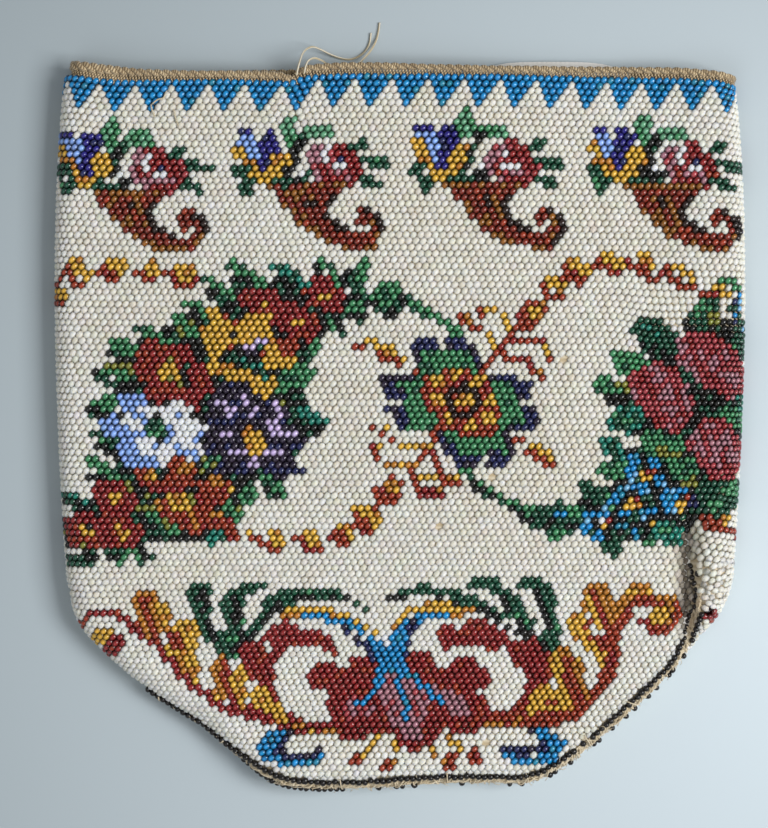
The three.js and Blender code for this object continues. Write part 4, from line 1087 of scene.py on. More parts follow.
PALMETTE = """
rust band 2 -79,136.8 -78.4,135
ruby band 1.7 -78,134.4 -74.5,134.6 -71,133.6 -69.6,135.2 -66.6,137 -64.4,138.8
mustard -76.8,140.4 -75.4,138.4 -73.6,137.4 -72,138.8 -72.4,140.8 -75,141.6
ruby -75,143.2 -73,141.4 -71.2,139.2 -69.4,139.6 -69.8,142.8 -72,144.4 -74,144.4
ruby band 2.2 -66,138 -62.6,139.8 -59.6,142.8 -56.6,146.6 -53.4,150.6 -50,153.2 -46.6,155.6 -43,158.6
amber -67.4,132.6 -66.2,130.4 -64.6,128.8 -61.4,129 -60.8,131.4 -58.4,132 -57.8,134.4 -58,139.6 -60.2,139
 -61.4,136.4 -62.6,140 -65,138.2 -65.4,134.4
mustard spot 1.8 1.8 -59.6,133.4
mustard band 1.4 -59.6,135.6 -58.6,139
rust band 1.9 -64,130.8 -63.2,133.6 -62,137 -60.2,141
mustard -57.4,138.4 -55.6,136.4 -52,136.2 -50.8,138.6 -51,144.4 -50.6,148 -50.2,150.6 -52.4,150.6
 -53.8,147.4 -55.6,146.4 -58.6,143 -58.4,140.6
amber band 1.6 -57.4,142 -55,145.6 -52.8,148.8 -51,150.4
rust -57.6,138.6 -55.2,138.2 -54.2,140.8 -54.6,143.6 -56.6,143 -57.8,141
amber -47.4,147.2 -45.6,145.2 -43,145 -42.6,148 -44.4,152 -44.2,156 -46.6,155 -46.4,150.6
mustard -42.4,149.4 -40.6,147.2 -39,149.4 -38.4,154.6 -39.8,158 -41.6,156.4
rust band 2 -43.6,146.8 -43.6,151 -42.8,155 -41.6,158
bottle -53.2,128.8 -51.4,127 -47,126.8 -47.6,129.4 -47.8,133.6 -47.4,137 -45.6,139 -43.6,141 -43.6,144.6
 -46.6,142.4 -49.4,138.6 -51.4,134.6
jet -50.4,128.6 -48.4,128.8 -48,133 -47.8,136.6 -45.6,139.4 -46.2,140.4 -48.6,137 -50,132.6
bottle -44.4,131 -42.8,128.6 -40,127.2 -33.4,126.6 -33.8,128 -38.6,128.6 -39.2,131 -39.6,136 -38.8,139.4
 -36,136 -34.2,132.6 -32.4,129.8 -28.6,128.4 -22,127.8 -15.2,128.6 -15,129.8 -26.6,130.2 -29.4,132.4
 -32,133.6 -34.4,136.6 -37.6,141 -40,144.6 -43.2,145 -43,140 -44.2,135
jet band 1.8 -41.4,129.6 -41,133 -40.6,137 -40,140.6 -41,143.6
jet band 1.6 -38,140.4 -35,136.8 -32.2,133.8 -29.4,131.8 -26,130.8 -20,130.4 -13,130.4
mustard band 1.5 -30,134.2 -27,133.2 -18,133.3 -16,134.4 -13,135
amber band 1.4 -29,134.6 -25,134.4
mustard beads -11,136.3 -8.8,138 -6,139.3
cerulean band 1.5 -24,134.6 -19,134.9 -16.5,136.4 -12,137 -9.4,139 -7,140.8
navy band 1.4 -14.5,138 -12,139.7 -9.4,141.6 -7.4,143.8 -6.4,147
bottle beads -11,132.3 -9,133.6
ruby -39.8,143.4 -37.8,141 -34.6,141.2 -33,139 -31.2,137.2 -29,136.4 -25.8,136.6 -25.4,138.4 -20.6,138.2
 -18.4,139.8 -16.4,142 -16.2,145 -17.8,144 -19.2,142.6 -27.2,142.4 -29.4,144 -31,145.6 -32,148.4 -31.4,152.4
 -30.8,155.8 -28.2,159 -24,161.4 -19.6,162.4 -17,161.6 -17,163.6 -24,164.2 -30,162.8 -36,160.6 -43,159.6
 -43.4,157.6 -38.4,158.4 -36.6,156.4 -33.6,156 -33,153.8 -34.8,151.8 -38,150.4 -39.4,146.6
chalk beads -33.6,141.6 -33.2,143.4
mustard -37,153.6 -35.2,152 -33.2,153.6 -32.8,156.4 -30,157.4 -28,160.6 -30.6,160.8 -33.6,158.6 -36.4,156.6
amber beads -26.5,162 -24.5,162 -21.6,163.4 -19.2,163.2 -17.6,163
cerulean -35.8,168.4 -34.2,166.2 -32,163.8 -28.8,163.6 -28.6,165.4 -31,166.6 -32,168.6 -31.8,171.2
 -34.2,170.8
cerulean band 1.4 -31.6,170.8 -27,171.6 -22,171.8 -19.4,170.2
navy band 1.6 -28,164.4 -29.6,166.2 -30.4,168.6 -28.4,170 -24,170.3 -20.4,168.8
mustard band 1.3 -6,164 -7,166.6 -8.6,168.6 -10,170
rust spot 1.9 1.5 -10.6,170.9
mustard band 1.3 -1.6,166 -1.3,168.6 -1.2,170 -2.4,171.4
rust spot 1.9 1.4 -3.4,172.4
bottle band 2.2 1.5,128.8 6,128.3 11,128.6 15,129.8 18.5,131 22,132.8 25,134.8
jet band 1.6 -2,130.2 1,130
jet band 1.3 9.5,130.8 14,131.3 18,132.8 22,133.8 24,135.2 26,137 28.5,138.5 31,140
bottle 16.3,127 17.5,125.8 24,125.6 25.5,127.5 27,129 29.5,130.5 31,133 32.5,135 33.5,137 34,139.5 35,141
 33,140.5 31,138.5 29.5,136.5 28,133.5 27,131 26,129 23.5,128.5 22,127.3
jet band 1.4 24.5,128.5 26,130.5 27.5,133.5 29,136 31,138 33,139.5
bottle 28.6,126.8 30,125.8 34.6,125.6 36.2,127.2 37.6,127.6 38.4,131 38.8,134 40.4,138.4 39.2,141 38.2,143.6
 37,144.6 35.6,143 34.6,141 35.8,139.8 36.4,137 36.2,133.6 35.4,131.4 34,130.6 33.8,128.8 32.6,127.6
jet band 1.3 33,128 34.3,131 36.3,132.5 36.6,135.5 37.3,139 36,141.8 36.8,143.5
mustard band 1.5 -1.6,138 -0.4,136 0.8,134.5 3,133.2 6,132.6 10,132.4 14,132.7
amber band 1.4 12,134 15,134.2 18,133.4
cerulean band 1.7 -1,138.5 1,136.8 3,135.8 5,135.3 6.5,134.6 9,134.3 11.2,134.4
navy band 1.5 4,136.5 2.2,138 1.5,142.5 1,145.5 2,147
ruby 9.3,138.6 11,137.6 15.2,138.2 16.3,139 16.8,136 21.5,136 23,137.8 26,138.8 26.5,140.5 26.6,142.5
 22.6,143 21.4,141.6 16,141.8 10,142 9.6,140.6
ruby beads 11,143.5
ruby 28.6,141 33.4,140.6 34.8,142.6 37.4,144.6 37.8,149.4 35.6,151.6 34,154 32.6,157 31.4,158.6 28.6,160.4
 25.6,161.4 22,160.6 26,159 29,157.6 31,155 31.8,151.6 30.8,148.6 29,146.6 27,144.8 26.2,143.4 29.4,143
rust band 3.4 53,143.5 52.6,148.6 50.6,152 48.6,154.4 46,157.4 43,159.4 38,160.4 33,160.4 28,160.4 22,161
mustard 34.5,153 36.5,152 38.5,153 40,154.5 43,155.5 43,157.3 40.5,158 37,158.6 35,158 33.6,159.6 31.6,160
 32.4,157.4 33.2,155
rust spot 1.6 1.1 37.4,156.6
amber beads 21.8,162 23.8,162 25.8,162 27.8,162 29,160.5
amber 37.8,145 39.4,142.8 42.8,143.2 45,146.4 46.2,151 48,155 46.4,157.4 43,157.6 41.6,154.6 39.6,150.6
 38,149.4
mustard band 2 39,144.5 39.2,148 40.4,151 41.4,154 42.6,156.6
rust band 2.4 41.6,146 42.2,149 43.4,152.4 44,155.6 45.6,158
amber 46,128.8 47.4,127 50.8,127 53,129 53.4,133.4 54.4,136 52.6,139 50.6,138.4 49.6,135 48,133 46,132.8
mustard band 1.8 46.6,130 47,132.3 49,133.5 50.2,137.5
mustard 42.4,136 43.4,134.6 46.2,134.8 47,137 48.2,139.6 50,141 51.4,144.4 51.4,146.6 49.8,147 48.6,144
 46.8,142.8 45.4,140.4 43.6,139.8 42.8,138
rust band 1.8 46.4,137.4 47.8,136.6 / 48,140 49.6,141.4 51,142.6
rust band 2.4 48.4,128.8 49.8,132 50.8,136 52.2,139.4 52.8,144 52.6,149
amber 56.2,128 58,127 62.6,127 62.4,129.6 60,129.8 57.4,130.4 55,133 54.6,131
mustard band 1.4 57,129.4 59,129.3
rust band 2.2 53.4,145 53.8,141 54.2,138.6 55.2,136 56.8,134 58,132 60,131 63,130.8 65.5,131.3
amber band 1.7 65.5,130.5 68,131 68,134
rust band 1.9 69,132.5 69.4,134 68.4,136.4 66.6,138.2 63.6,138.2 61.6,137 60.4,135.6
mustard 61.8,134 63.4,133 65.4,133.8 66.8,133 67.6,135 66.4,136.8 64,136.6 62.4,135.6
cerulean 34.2,163 36.4,162.4 38,164.6 39.2,166 40.8,165.6 41,167 39.6,168.4 39.2,170.6 38,172.6 36.6,171.6
 36.6,169.4 36.4,167 35,165.6
navy beads 32.6,163.3
navy band 1.4 35,166.4 36.8,167.6
navy band 1.8 26.4,167.6 29,169 32,169.2 34.4,168
cerulean band 1.6 26.6,169.6 29,170.8 33,170.8 35.6,170.4
mustard band 1.4 7.8,165.6 8.2,167.4 8.9,169 / 12.6,164.4 13.2,166 14.8,167.4 16.8,169.3
rust 11.4,169.6 13.8,169.8 14,172.8 11.2,173 / 17.6,168.4 20,168.4 19.8,171.2 16.8,171.6
amber beads 10.8,170.6
ruby -22.8,149.4 -20.8,146.2 -16.2,147 -13.4,149 -12.6,146 -9.6,144.8 -6.4,147.2 -5.4,152 -3,156 -2,161.6
 5,169 -1,164.6 -5.4,163 -8,164.8 -14.6,165 -17.2,161.4 -18.6,158 -16.8,154.4 -21.2,152.6 / 2.2,144.6 5,144
 7,144.6 8.6,146 9.6,148 11,149 12.6,147 14.4,145.4 17,145 19,147 21,148 22.4,150.5 21.6,152.4 19.4,153.4
 18.4,154.2 20.6,155.4 21.8,156 22,160 20.6,162.6 17,163.6 13.6,163.4 12.4,162 10,162.6 8.6,164.6 7,167
 4.6,168.8 1.4,168 -1.6,163 -2,150 0,147
pink -14.8,157.6 -12.6,155 -10.4,154.8 -9,157.4 -6.6,157.2 -8.4,159.4 -13,160.2 / -5.6,153.6 -3,149
 -0.8,149.2 1.8,150 3.5,151.6 5.6,153.6 7.4,155 6.6,158 5.6,162 4.6,165.4 2,166 -1.6,161.2 -3.6,156.6 /
 8.4,152.6 10,154 12.6,154 15.4,155 17,156.6 16.6,159.4 14,159.4 11.4,157.6 9,155
cerulean -7.6,140 -4.6,142 -3.6,143.6 -2.4,140.6 -0.8,138 1,136 1.6,139 0.8,143 0.2,146.4 2.2,148.6 1,150
 -0.6,148.6 -4,149 -5.4,152.4 -6.4,153 -5.6,149 -5,145.6 -6,142.6
cerulean band 1.5 -4.6,150 -5.6,152.8 -7.2,154.6 -10.2,156.8 / -0.6,148 0.3,153 1.6,160 / 2,148.5 4.5,151
 7,153.2 9,155 10.6,156.6
milk beads -4,140.7 -3.7,142.3
"""


def read_chart(text):
    """The shapes of a chart: colour, kind, sizes and points."""
    shapes = []
    for line in text.strip().replace("\n ", " ").split("\n"):
        colour, *words = line.split()
        kind = "patch" if "," in words[0] else words.pop(0)
        sizes = [float(word) for word in words if "," not in word and word != "/"]
        for run in line.split("/"):
            points = [[float(number) for number in word.split(",")] for word in run.split() if "," in word]
            shapes.append((colour, kind, sizes, points))
    return shapes


def inside_patch(at, corners):
    """Even-odd rule: a line drawn aside from a place crosses the patch's edge an odd number of times."""
    x, y = at[:, :1], at[:, 1:]
    (x1, y1), (x2, y2) = corners.T, np.roll(corners, -1, axis=0).T
    rise = np.where(y2 == y1, 1e-9, y2 - y1)
    crosses = ((y1 > y) != (y2 > y)) & (x < x1 + (y - y1) * (x2 - x1) / rise)
    return crosses.sum(1) % 2 == 1


def distance_to_line(at, line):
    """The distance from each place to the nearest stretch of a line."""
    start, step = line[:-1], np.diff(line, axis=0)
    offset = at[:, None] - start
    share = np.clip((offset * step).sum(2) / (step**2).sum(1), 0, 1)
    return np.linalg.norm(offset - share[:, :, None] * step, axis=2).min(1)


PATCH_MARGIN = 0.35
BAND_MARGIN = 0.12
SHAPE_REACH = 2.0  # past a shape's points, within which beads are tested


def within(kind, sizes, points, at):
    """Which places a shape covers."""
    if kind == "patch":
        around = np.concatenate([points, points[:1]])
        return inside_patch(at, points) | (distance_to_line(at, around) <= PATCH_MARGIN)
    if kind == "band":
        return distance_to_line(at, points) <= sizes[0] / 2 + BAND_MARGIN
    if kind == "spot":
        return (np.linalg.norm((at[:, None] - points) / sizes, axis=2) <= 1).any(1)
    away = np.linalg.norm(at[:, None] - points, axis=2)
    covered = np.zeros(len(at), bool)
    covered[away.argmin(0)[away.min(0) < ROW_PITCH]] = True
    return covered


COLOURS = list(PALETTE)


def paint(colours, chart, at):
    """Lay a chart's shapes over the beads at these places, each over the ones before."""
    for colour, kind, sizes, points in chart:
        points = np.array(points)
        reach = SHAPE_REACH + (max(sizes) if sizes else 0)
        near = ((at > points.min(0) - reach) & (at < points.max(0) + reach)).all(1)
        if near.any():
            chosen = np.flatnonzero(near)[within(kind, sizes, points, at[near])]
            colours[chosen] = COLOURS.index(colour)


TRIANGLE_COLUMNS = 5
TRIANGLE_FROM = 13  # column at which one of the triangles starts


def paint_border(colours, column, drop):
    """A blue edge along the mouth: triangles five columns wide that lose one column at each row."""
    row = (drop - FIRST_ROW) / ROW_PITCH
    within_triangle = (column - TRIANGLE_FROM) % TRIANGLE_COLUMNS < TRIANGLE_COLUMNS - row - 0.5
    colours[within_triangle] = COLOURS.index("cerulean")


horn, swags, stems = read_chart(HORN), read_chart(SWAGS), read_chart(STEMS)
left_bouquet, right_bouquet = read_chart(LEFT_BOUQUET), read_chart(RIGHT_BOUQUET)
medallion, palmette = read_chart(MEDALLION), read_chart(PALMETTE)
HORNS = range(-1, 5)  # counted from the charted one, past both folds

# Beads of a near colour that were strung in among the others: into which, which, and their share
MIXED = [
    ("navy", "violet", 0.25), ("violet", "navy", 0.15), ("jet", "bottle", 0.28), ("jade", "bottle", 0.14),
    ("bottle", "jade", 0.06), ("teal", "bottle", 0.25), ("rust", "ruby", 0.14), ("ruby", "rust", 0.12),
    ("brown", "oxblood", 0.3), ("amber", "mustard", 0.15), ("mustard", "amber", 0.1), ("pink", "rose", 0.25),
    ("oxblood", "rust", 0.2), ("cerulean", "petrol", 0.14), ("celadon", "jade", 0.3),
    ("indigo", "navy", 0.15), ("rose", "ruby", 0.35),
]
PLAIN_CORNER = (68, 136)  # the back has no pattern further out and down than this


def mix_in(colours):
    """Swap a share of the beads of some colours for beads of a near one."""
    planned = colours.copy()
    for colour, other, share in MIXED:
        chosen = (planned == COLOURS.index(colour)) & (rng.random(len(colours)) < share)
        colours[chosen] = COLOURS.index(other)


def front_pattern(at, flat, column):
    """Colours of the front: border, row of horns, garland with two bouquets and a medallion, palmette."""
    colours = np.zeros(len(at), int)
    paint_border(colours, column, flat[:, 1])
    lift = np.interp(at[:, 0], HORN_LIFT_X, HORN_LIFT)[:, None] * (0, 1)
    for i in HORNS:
        paint(colours, horn, at + lift - (i * HORN_REPEAT, 0))
    for chart in (stems, swags, left_bouquet, medallion, right_bouquet, palmette):
        paint(colours, chart, at)
    return colours


def back_pattern(at, flat, column):
    """Colours of the back: the same horns and palmette, seen from behind, and the garland mirrored.

    Mirrored, the two bouquets run on round the folds.
    """
    seen = at * (-1, 1)
    colours = np.zeros(len(at), int)
    paint_border(colours, column, flat[:, 1])
    for i in HORNS:
        paint(colours, horn, seen - (i * HORN_REPEAT, 0))
    for chart in (stems, swags, left_bouquet, medallion, right_bouquet):
        paint(colours, chart, at)
    paint(colours, palmette, seen)
    colours[(np.abs(at) > PLAIN_CORNER).all(1)] = COLOURS.index("chalk")
    return colours


# Beads set on the fabric

BARE_PLACES = np.array([(40.3, 71), (9.7, 112), (22.5, 99.5), (21.2, 166)])  # where a bead is lost
BANDS = {"horns": (-1, 46), "garland": (46, 86), "bouquets": (86, 124), "palmette": (124, 190)}

# How far the front's columns are pulled aside along the mouth, at places across the bag
PULL_X = [-86, -60, -40, -20, 0, 30, 46, 60, 80]
PULL = [-2.6, -2.2, -1.6, -0.8, 0, 0.5, 0.6, 0, -0.4]
PULL_FADE = 9.0  # down the bag

# Rows drawn together on the front: by which share, from which drop down, and between which x it sets in
DRAWN_ROWS = [(0.04, 110, (-85, -40)), (0.13, 138, (-75, -15))]
DRAWN_OVER = 28  # rows further down than this are only moved
ROSES_IN, ROSES_OUT, ROSES_SIDE = (46, 64), (98, 124), (52, 66)  # the finer knitting at the right fold
ROSES_ASIDE, ROSES_FROM = 0.15, 57
ROSES_ROWS, ROSES_MIDDLE, ROSES_HALF = 0.08, 82, 20


def gather(flat):
    """The knitting's unevenness on the front: rows drawn together over the palmette and rising from the
    left hem, and finer beads in both directions round the roses at the right fold. A stretch is drawn
    together by taking a share of the distance from its start.
    """
    x, drop = flat.T
    risen = 0 * drop
    for share, start, side in DRAWN_ROWS:
        risen = risen + share * np.clip(drop - start, 0, DRAWN_OVER) * smooth_step(x, *side)
    roses = smooth_step(drop, *ROSES_IN) * (1 - smooth_step(drop, *ROSES_OUT))
    aside = ROSES_ASIDE * np.maximum(x - ROSES_FROM, 0) * roses
    rows = np.clip(drop - ROSES_MIDDLE, -ROSES_HALF, ROSES_HALF)
    risen = risen + ROSES_ROWS * rows * roses * smooth_step(x, *ROSES_SIDE)
    return np.column_stack([x - aside, drop - risen])


def lattice(back):
    """Flat places of the beads on one side: columns round the bag, each row a third of a column on.

    The pitch follows the width of the tube down to the side corners. Columns past the folds are spare.
    """
    rows = np.arange(round((BODY_LENGTH + EDGE_ROLL) / ROW_PITCH) + SPARE_ROWS)[:, None]
    columns = np.arange(-SPARE_COLUMNS, COLUMNS + SPARE_COLUMNS)[None] + (rows * ROW_SHIFT) % 1
    drop = FIRST_ROW + rows * ROW_PITCH
    side = edge_points[:len(edge_points) // 2]
    width = -np.interp(np.minimum(drop, CORNER_DROP - CORNER_ROUND), side[:, 1], side[:, 0])
    half_round = width - EDGE_ROLL + QUARTER
    x = half_round * (2 * (columns + 0.5) / COLUMNS - 1)
    flat = np.stack([-x if back else x, np.broadcast_to(drop, x.shape)], -1).reshape(-1, 2)
    flat[:, 0] += np.interp(flat[:, 0], PULL_X, PULL) * np.exp(-flat[:, 1] / PULL_FADE) * (not back)
    number = np.floor(columns - rows * ROW_SHIFT + 1e-6).astype(int)
    return flat if back else gather(flat), number.ravel()


CORNER_FROM, CORNER_TO = HEM_LENGTH - 19, HEM_LENGTH + 2  # along the hem, at its right end
CORNER_PITCH = 1.6
CORNER_FIRST = 0.8  # up the edge from the silhouette to the first row
CORNER_OPENS, CORNER_CLOSES = 3, 20  # up the edge: where a row starts to be drawn in, and over how far
CORNER_SET, CORNER_STAGGER = 0.2, 0.5  # of the pitch, at a row's upper end


def corner_rows(flat, number):
    """Lay the back's beads afresh where it is rolled up round the right corner, in rows along the edge.

    A row's pitch is opened out by as much as the corner's round draws the row together.
    """
    _, _, _, along, out = roll(flat, True, BEAD_RISE)
    kept = (out <= QUARTER) | (along < CORNER_FROM) | (along > CORNER_TO)
    rows = [flat[kept]]
    for row, rise in enumerate(np.arange(CORNER_FIRST, SEAM_STATIONS[-1][1], ROW_PITCH)):
        pitch = CORNER_PITCH / (1 - max(0, rise - CORNER_OPENS) / CORNER_CLOSES)
        end = CORNER_TO - pitch * (CORNER_SET + CORNER_STAGGER * ((row * ROW_SHIFT) % 1))
        at = np.arange(end, CORNER_FROM, -pitch)
        middle, normal = (
            np.column_stack([np.interp(at, edge_along, line[:, i]) for i in (0, 1)])
            for line in (inner_edge, edge_normals)
        )
        rows.append(middle + normal * (QUARTER + rise))
    rows = np.concatenate(rows)
    return rows, np.concatenate([number[kept], np.zeros(len(rows) - kept.sum(), int)])


# Finer beads: by which share, between which drops they set in and end, and between which x they set in
FINER = [(0.13, (56, 64), (98, 106), (54, 62)), (0.08, (136, 146), (164, 172), (-50, -20))]


def fineness(flat):
    """What is left of the beads' size where the knitting is gathered."""
    x, drop = flat.T
    left = 1 + 0 * x
    for share, top, foot, side in FINER:
        left = left - share * smooth_step(drop, *top) * (1 - smooth_step(drop, *foot)) * smooth_step(x, *side)
    return left[:, None]


def bead_frames(flat, back):
    """Each bead's place on the ground, its three axes, across, up along the bag and out, and how far the
    fabric is stretched there. They come from places a short step aside and down.
    """
    step = 0.2
    ground = place(flat, back, BEAD_RISE)
    across = place(flat + (step, 0), back, BEAD_RISE) - ground
    up = ground - place(flat + (0, step), back, BEAD_RISE)
    stretch = np.linalg.norm(across, axis=1) / step
    across = unit(across) * (-1 if back else 1)
    out = unit(np.cross(across, up))
    return ground, across, np.cross(out, across), out, stretch


def bead_shape(sides, levels):
    """A bead as rings round its top: an oval of squarish outline, domed above and cut off at the ground.

    Returns the ring points' places along, across and up, faces as corner lists, and the share of the way
    from top to foot, which lays the bead out flat on a map.
    """
    levels = np.radians(levels)
    angle = np.linspace(0, 2 * math.pi, sides, endpoint=False)
    circle = np.stack([np.cos(angle), np.sin(angle)], 1)
    squareness = (np.abs(circle) ** BEAD_SQUARENESS).sum(1, keepdims=True)
    outline_at = circle * squareness ** (-1 / BEAD_SQUARENESS)
    plan = np.concatenate([[[0, 0]], *(math.cos(level) * outline_at for level in levels)])
    height = np.concatenate([[1.0], *(np.full(sides, math.sin(level)) for level in levels)])
    foot = height.min()
    height = (height - foot) / (1 - foot)
    way = (math.pi / 2 - levels) / (math.pi / 2 - levels[-1])
    spread = np.concatenate([[[0, 0]], *(share * outline_at for share in way)])
    this, beside = np.arange(sides), (np.arange(sides) + 1) % sides
    faces = [(0, 1 + a, 1 + b) for a, b in zip(this, beside)]
    for ring in range(len(levels) - 1):
        low, high = 1 + ring * sides, 1 + (ring + 1) * sides
        faces += [(low + a, high + a, high + b, low + b) for a, b in zip(this, beside)]
    faces.append(tuple(high + this[::-1]))
    return plan, height, faces, spread


# Painted light and shade on a clear bead from foot to top: a lit top, a darker rim, a near-black foot that
# fills the gaps
SHADE_LEVELS = [-32, 15, 55, 90]  # degrees up from the bead's middle
CLEAR_PAINTED_SHADING = [0.02, 0.22, 0.9, 1.3]
# How far a bead's foot is spread past its outline, so that the thread hardly shows between beads
CHALK_FOOT = 1.28
CLEAR_FOOT = 1.45
FRONT_BEAD = (8, (55, 15, -32))  # points round a ring, and the rings' levels in degrees
BACK_BEAD = (7, (38, -30))
MAP_SHARE = 0.9  # of a bead's size, left on its map

# Differences from bead to bead
SHADE_SPREAD, TINT_SPREAD = 0.06, 0.02  # of its lightness, and of its red, green and blue apart
LEAN_SPREAD, TIP_SPREAD = 0.12, 0.1  # radians
SIZE_SPREAD = 0.045
STRETCH_LIMITS = (0.72, 1.35)  # of the fabric, up to which the beads' size follows it
CROWDED, CRAMPED = 0.66, 0.33  # stretch under which every second column is kept, and every fourth

# What has yellowed the pale beads, and the painted shade in the crease at the right corner
YELLOWING = "#B39A6E"
YELLOW_LEAST, YELLOW_MORE, YELLOW_SINGLE = 0.04, 0.12, 0.1  # all over, in stains, on single beads
CLEAN_DROPS, CLEAN_SIDES, CLEAN_SHARE = (112, 150), (55, 82), 0.6
# Painted shade: a dark brown laid over the pale beads in the crease beside the rolled-up corner
CREASE_PAINTED_SHADE, CREASE_SHADE_SHARE = "#463A2F", 0.92
CREASE_SHADE_X, CREASE_SHADE_BREADTH, CREASE_SHADE_IN, CREASE_SHADE_OUT = 71.7, 2.8, (104, 116), (134, 144)


def bead_colours(colours, at):
    """Each bead's colour: its glass, a little lighter or darker, and stains on the pale ones.

    The stains are two wandering sines, which fade out towards the foot and the folds, and painted shade
    lies in the crease at the right corner as a bell curve.
    """
    glass = np.array([linear(PALETTE[name])[:3] for name in COLOURS])[colours]
    count = len(colours)
    shade = np.exp(rng.normal(0, SHADE_SPREAD, (count, 1)) + rng.normal(0, TINT_SPREAD, (count, 3)))
    x, drop = at.T
    stain = 0.5 + 0.25 * np.sin(x / 13 + 1.3 * np.sin(drop / 19)) + 0.25 * np.sin(drop / 11 - x / 29)
    pale = colours == COLOURS.index("chalk")
    clean = np.maximum(smooth_step(drop, *CLEAN_DROPS), CLEAN_SHARE * smooth_step(np.abs(x), *CLEAN_SIDES))
    yellowing = (YELLOW_LEAST + YELLOW_MORE * stain) * (1 - clean) + YELLOW_SINGLE * rng.random(count) ** 4
    # painted shade in the crease at the right corner
    darkening = CREASE_SHADE_SHARE * bell(x, CREASE_SHADE_X, CREASE_SHADE_BREADTH)
    darkening = darkening * smooth_step(drop, *CREASE_SHADE_IN) * (1 - smooth_step(drop, *CREASE_SHADE_OUT))
    glass = glass * shade
    for amount, dirt_and_shade in ((yellowing, YELLOWING), (darkening, CREASE_PAINTED_SHADE)):
        amount = (pale * amount)[:, None]
        glass = glass * (1 - amount) + np.array(linear(dirt_and_shade)[:3]) * amount
    return glass


def kept_beads(back):
    """The beads that are there on one side: their flat places, columns, places in plan and frames.

    A bead is kept if it lies on its own side of the folds and the seam. Where the fabric is squeezed round
    a corner, only every second or fourth column is kept.
    """
    flat, number = lattice(back)
    if back:
        flat, number = corner_rows(flat, number)
    x, drop, _, along, out = roll(flat, back, BEAD_RISE)
    front_edge, back_edge = panel_edges(along)
    kept = out - QUARTER <= back_edge if back else QUARTER - out >= front_edge
    flat, number, at = flat[kept], number[kept], np.stack([x, drop], 1)[kept]
    ground, *axes, stretch = bead_frames(flat, back)
    kept = (stretch > CROWDED) | ((number % 2 == 0) & (stretch > CRAMPED)) | (number % 4 == 0)
    kept &= flat[:, 1] < BODY_LENGTH + EDGE_ROLL
    if not back:
        away = np.linalg.norm(at[:, None] - BARE_PLACES, axis=2)
        kept[away.argmin(0)] = False
    return [each[kept] for each in (flat, number, at, ground, *axes, stretch)]


def bead_axes(across, up, facing, sizes):
    """The long axis, the short one and the one out of each bead, leaning and tipped at random."""
    lean = BEAD_LEAN + rng.normal(0, LEAN_SPREAD, len(up))[:, None]
    sizes = np.exp(rng.normal(0, SIZE_SPREAD, (len(up), 3))) * sizes
    tip = rng.normal(0, TIP_SPREAD, (len(up), 2, 1))
    long = unit(np.cos(lean) * across + np.sin(lean) * up + tip[:, 0] * facing)
    facing = unit(facing - (facing * long).sum(1, keepdims=True) * long + tip[:, 1] * up)
    short = unit(np.cross(facing, long))
    return np.stack([long, short, facing], 1) * sizes[:, :, None]


def add_bead_band(name, flat, ground, axes, glossy, tint_and_crease_shade, sides, levels):
    """One piece of beads: the same shape set on each bead's axes, chalk-white or coloured glass.

    Its map is the flat fabric, with each bead laid out flat at its place.
    """
    plan, height, faces, spread = bead_shape(sides, levels)
    corners = np.concatenate(faces)
    starts = np.cumsum([0] + [len(face) for face in faces])[:-1]
    half_size = np.array([BEAD_LENGTH, BEAD_WIDTH]) / 2
    level = np.repeat([90, *levels], [1] + [sides] * len(levels))
    foot = np.where(glossy, CLEAR_FOOT, CHALK_FOOT)[:, None]
    widened = np.where(level == levels[-1], foot, 1.0)[:, :, None]
    rise = np.broadcast_to((height * BEAD_RISE)[None, :, None], widened.shape)
    points = ground[:, None] + np.concatenate([plan * half_size * widened, rise], axis=2) @ axes
    shift = np.arange(len(flat))[:, None]
    piece = add_piece(
        name, points.reshape(-1, 3), (corners + shift * len(plan)).ravel(),
        (starts + shift * len(corners)).ravel(), [chalk, coloured], "ivory_beads", ["beaded_bag"],
    )
    # painted shading: clear beads lit at the top, shaded at the rim and near-black at the foot, between the
    # beads
    painted_shading = np.where(glossy[:, None], np.interp(level, SHADE_LEVELS, CLEAR_PAINTED_SHADING), 1.0)
    rgb = (tint_and_crease_shade[:, None] * painted_shading[:, :, None]).reshape(-1, 3)
    rgba = np.column_stack([rgb, np.ones(len(rgb))])
    attribute = piece.data.color_attributes.new("bead_colour_and_shade", "FLOAT_COLOR", "POINT")
    attribute.data.foreach_set("color", rgba.astype(np.float32).ravel())
    piece.data.polygons.foreach_set("material_index", np.repeat(glossy, len(faces)).astype(np.int32))
    add_map(piece, unit_square((flat[:, None] + spread * half_size * MAP_SHARE).reshape(-1, 2)))


def add_beads(back, sides, levels):
    """All the beads of one side, in a few pieces from the mouth to the foot."""
    flat, number, at, ground, across, up, facing, stretch = kept_beads(back)
    colours = (back_pattern if back else front_pattern)(at, flat, number)
    mix_in(colours)
    sizes = np.repeat(np.clip(stretch[:, None], *STRETCH_LIMITS) ** 0.5, 3, axis=1)
    sizes[:, :2] *= 1 if back else fineness(flat)
    axes = bead_axes(across, up, facing, sizes)
    tint_and_crease_shade = bead_colours(colours, at)
    glossy = colours > COLOURS.index("milk")
    for band, (top, bottom) in BANDS.items():
        own = (flat[:, 1] >= top) & (flat[:, 1] < bottom)
        name = f"{'back' if back else 'front'}_beads_{band}"
        add_bead_band(name, *(each[own] for each in (flat, ground, axes, glossy, tint_and_crease_shade)), sides, levels)


# Knitted ground and lining


def flat_half_width(drop):
    """Half the flat width of one side at a drop, from fold to fold or hem to hem."""
    limit = inner_edge + QUARTER * edge_normals
    right = limit[len(limit) // 2:]
    order = np.argsort(right[:, 1])
    return np.interp(drop, right[order, 1], right[order, 0])


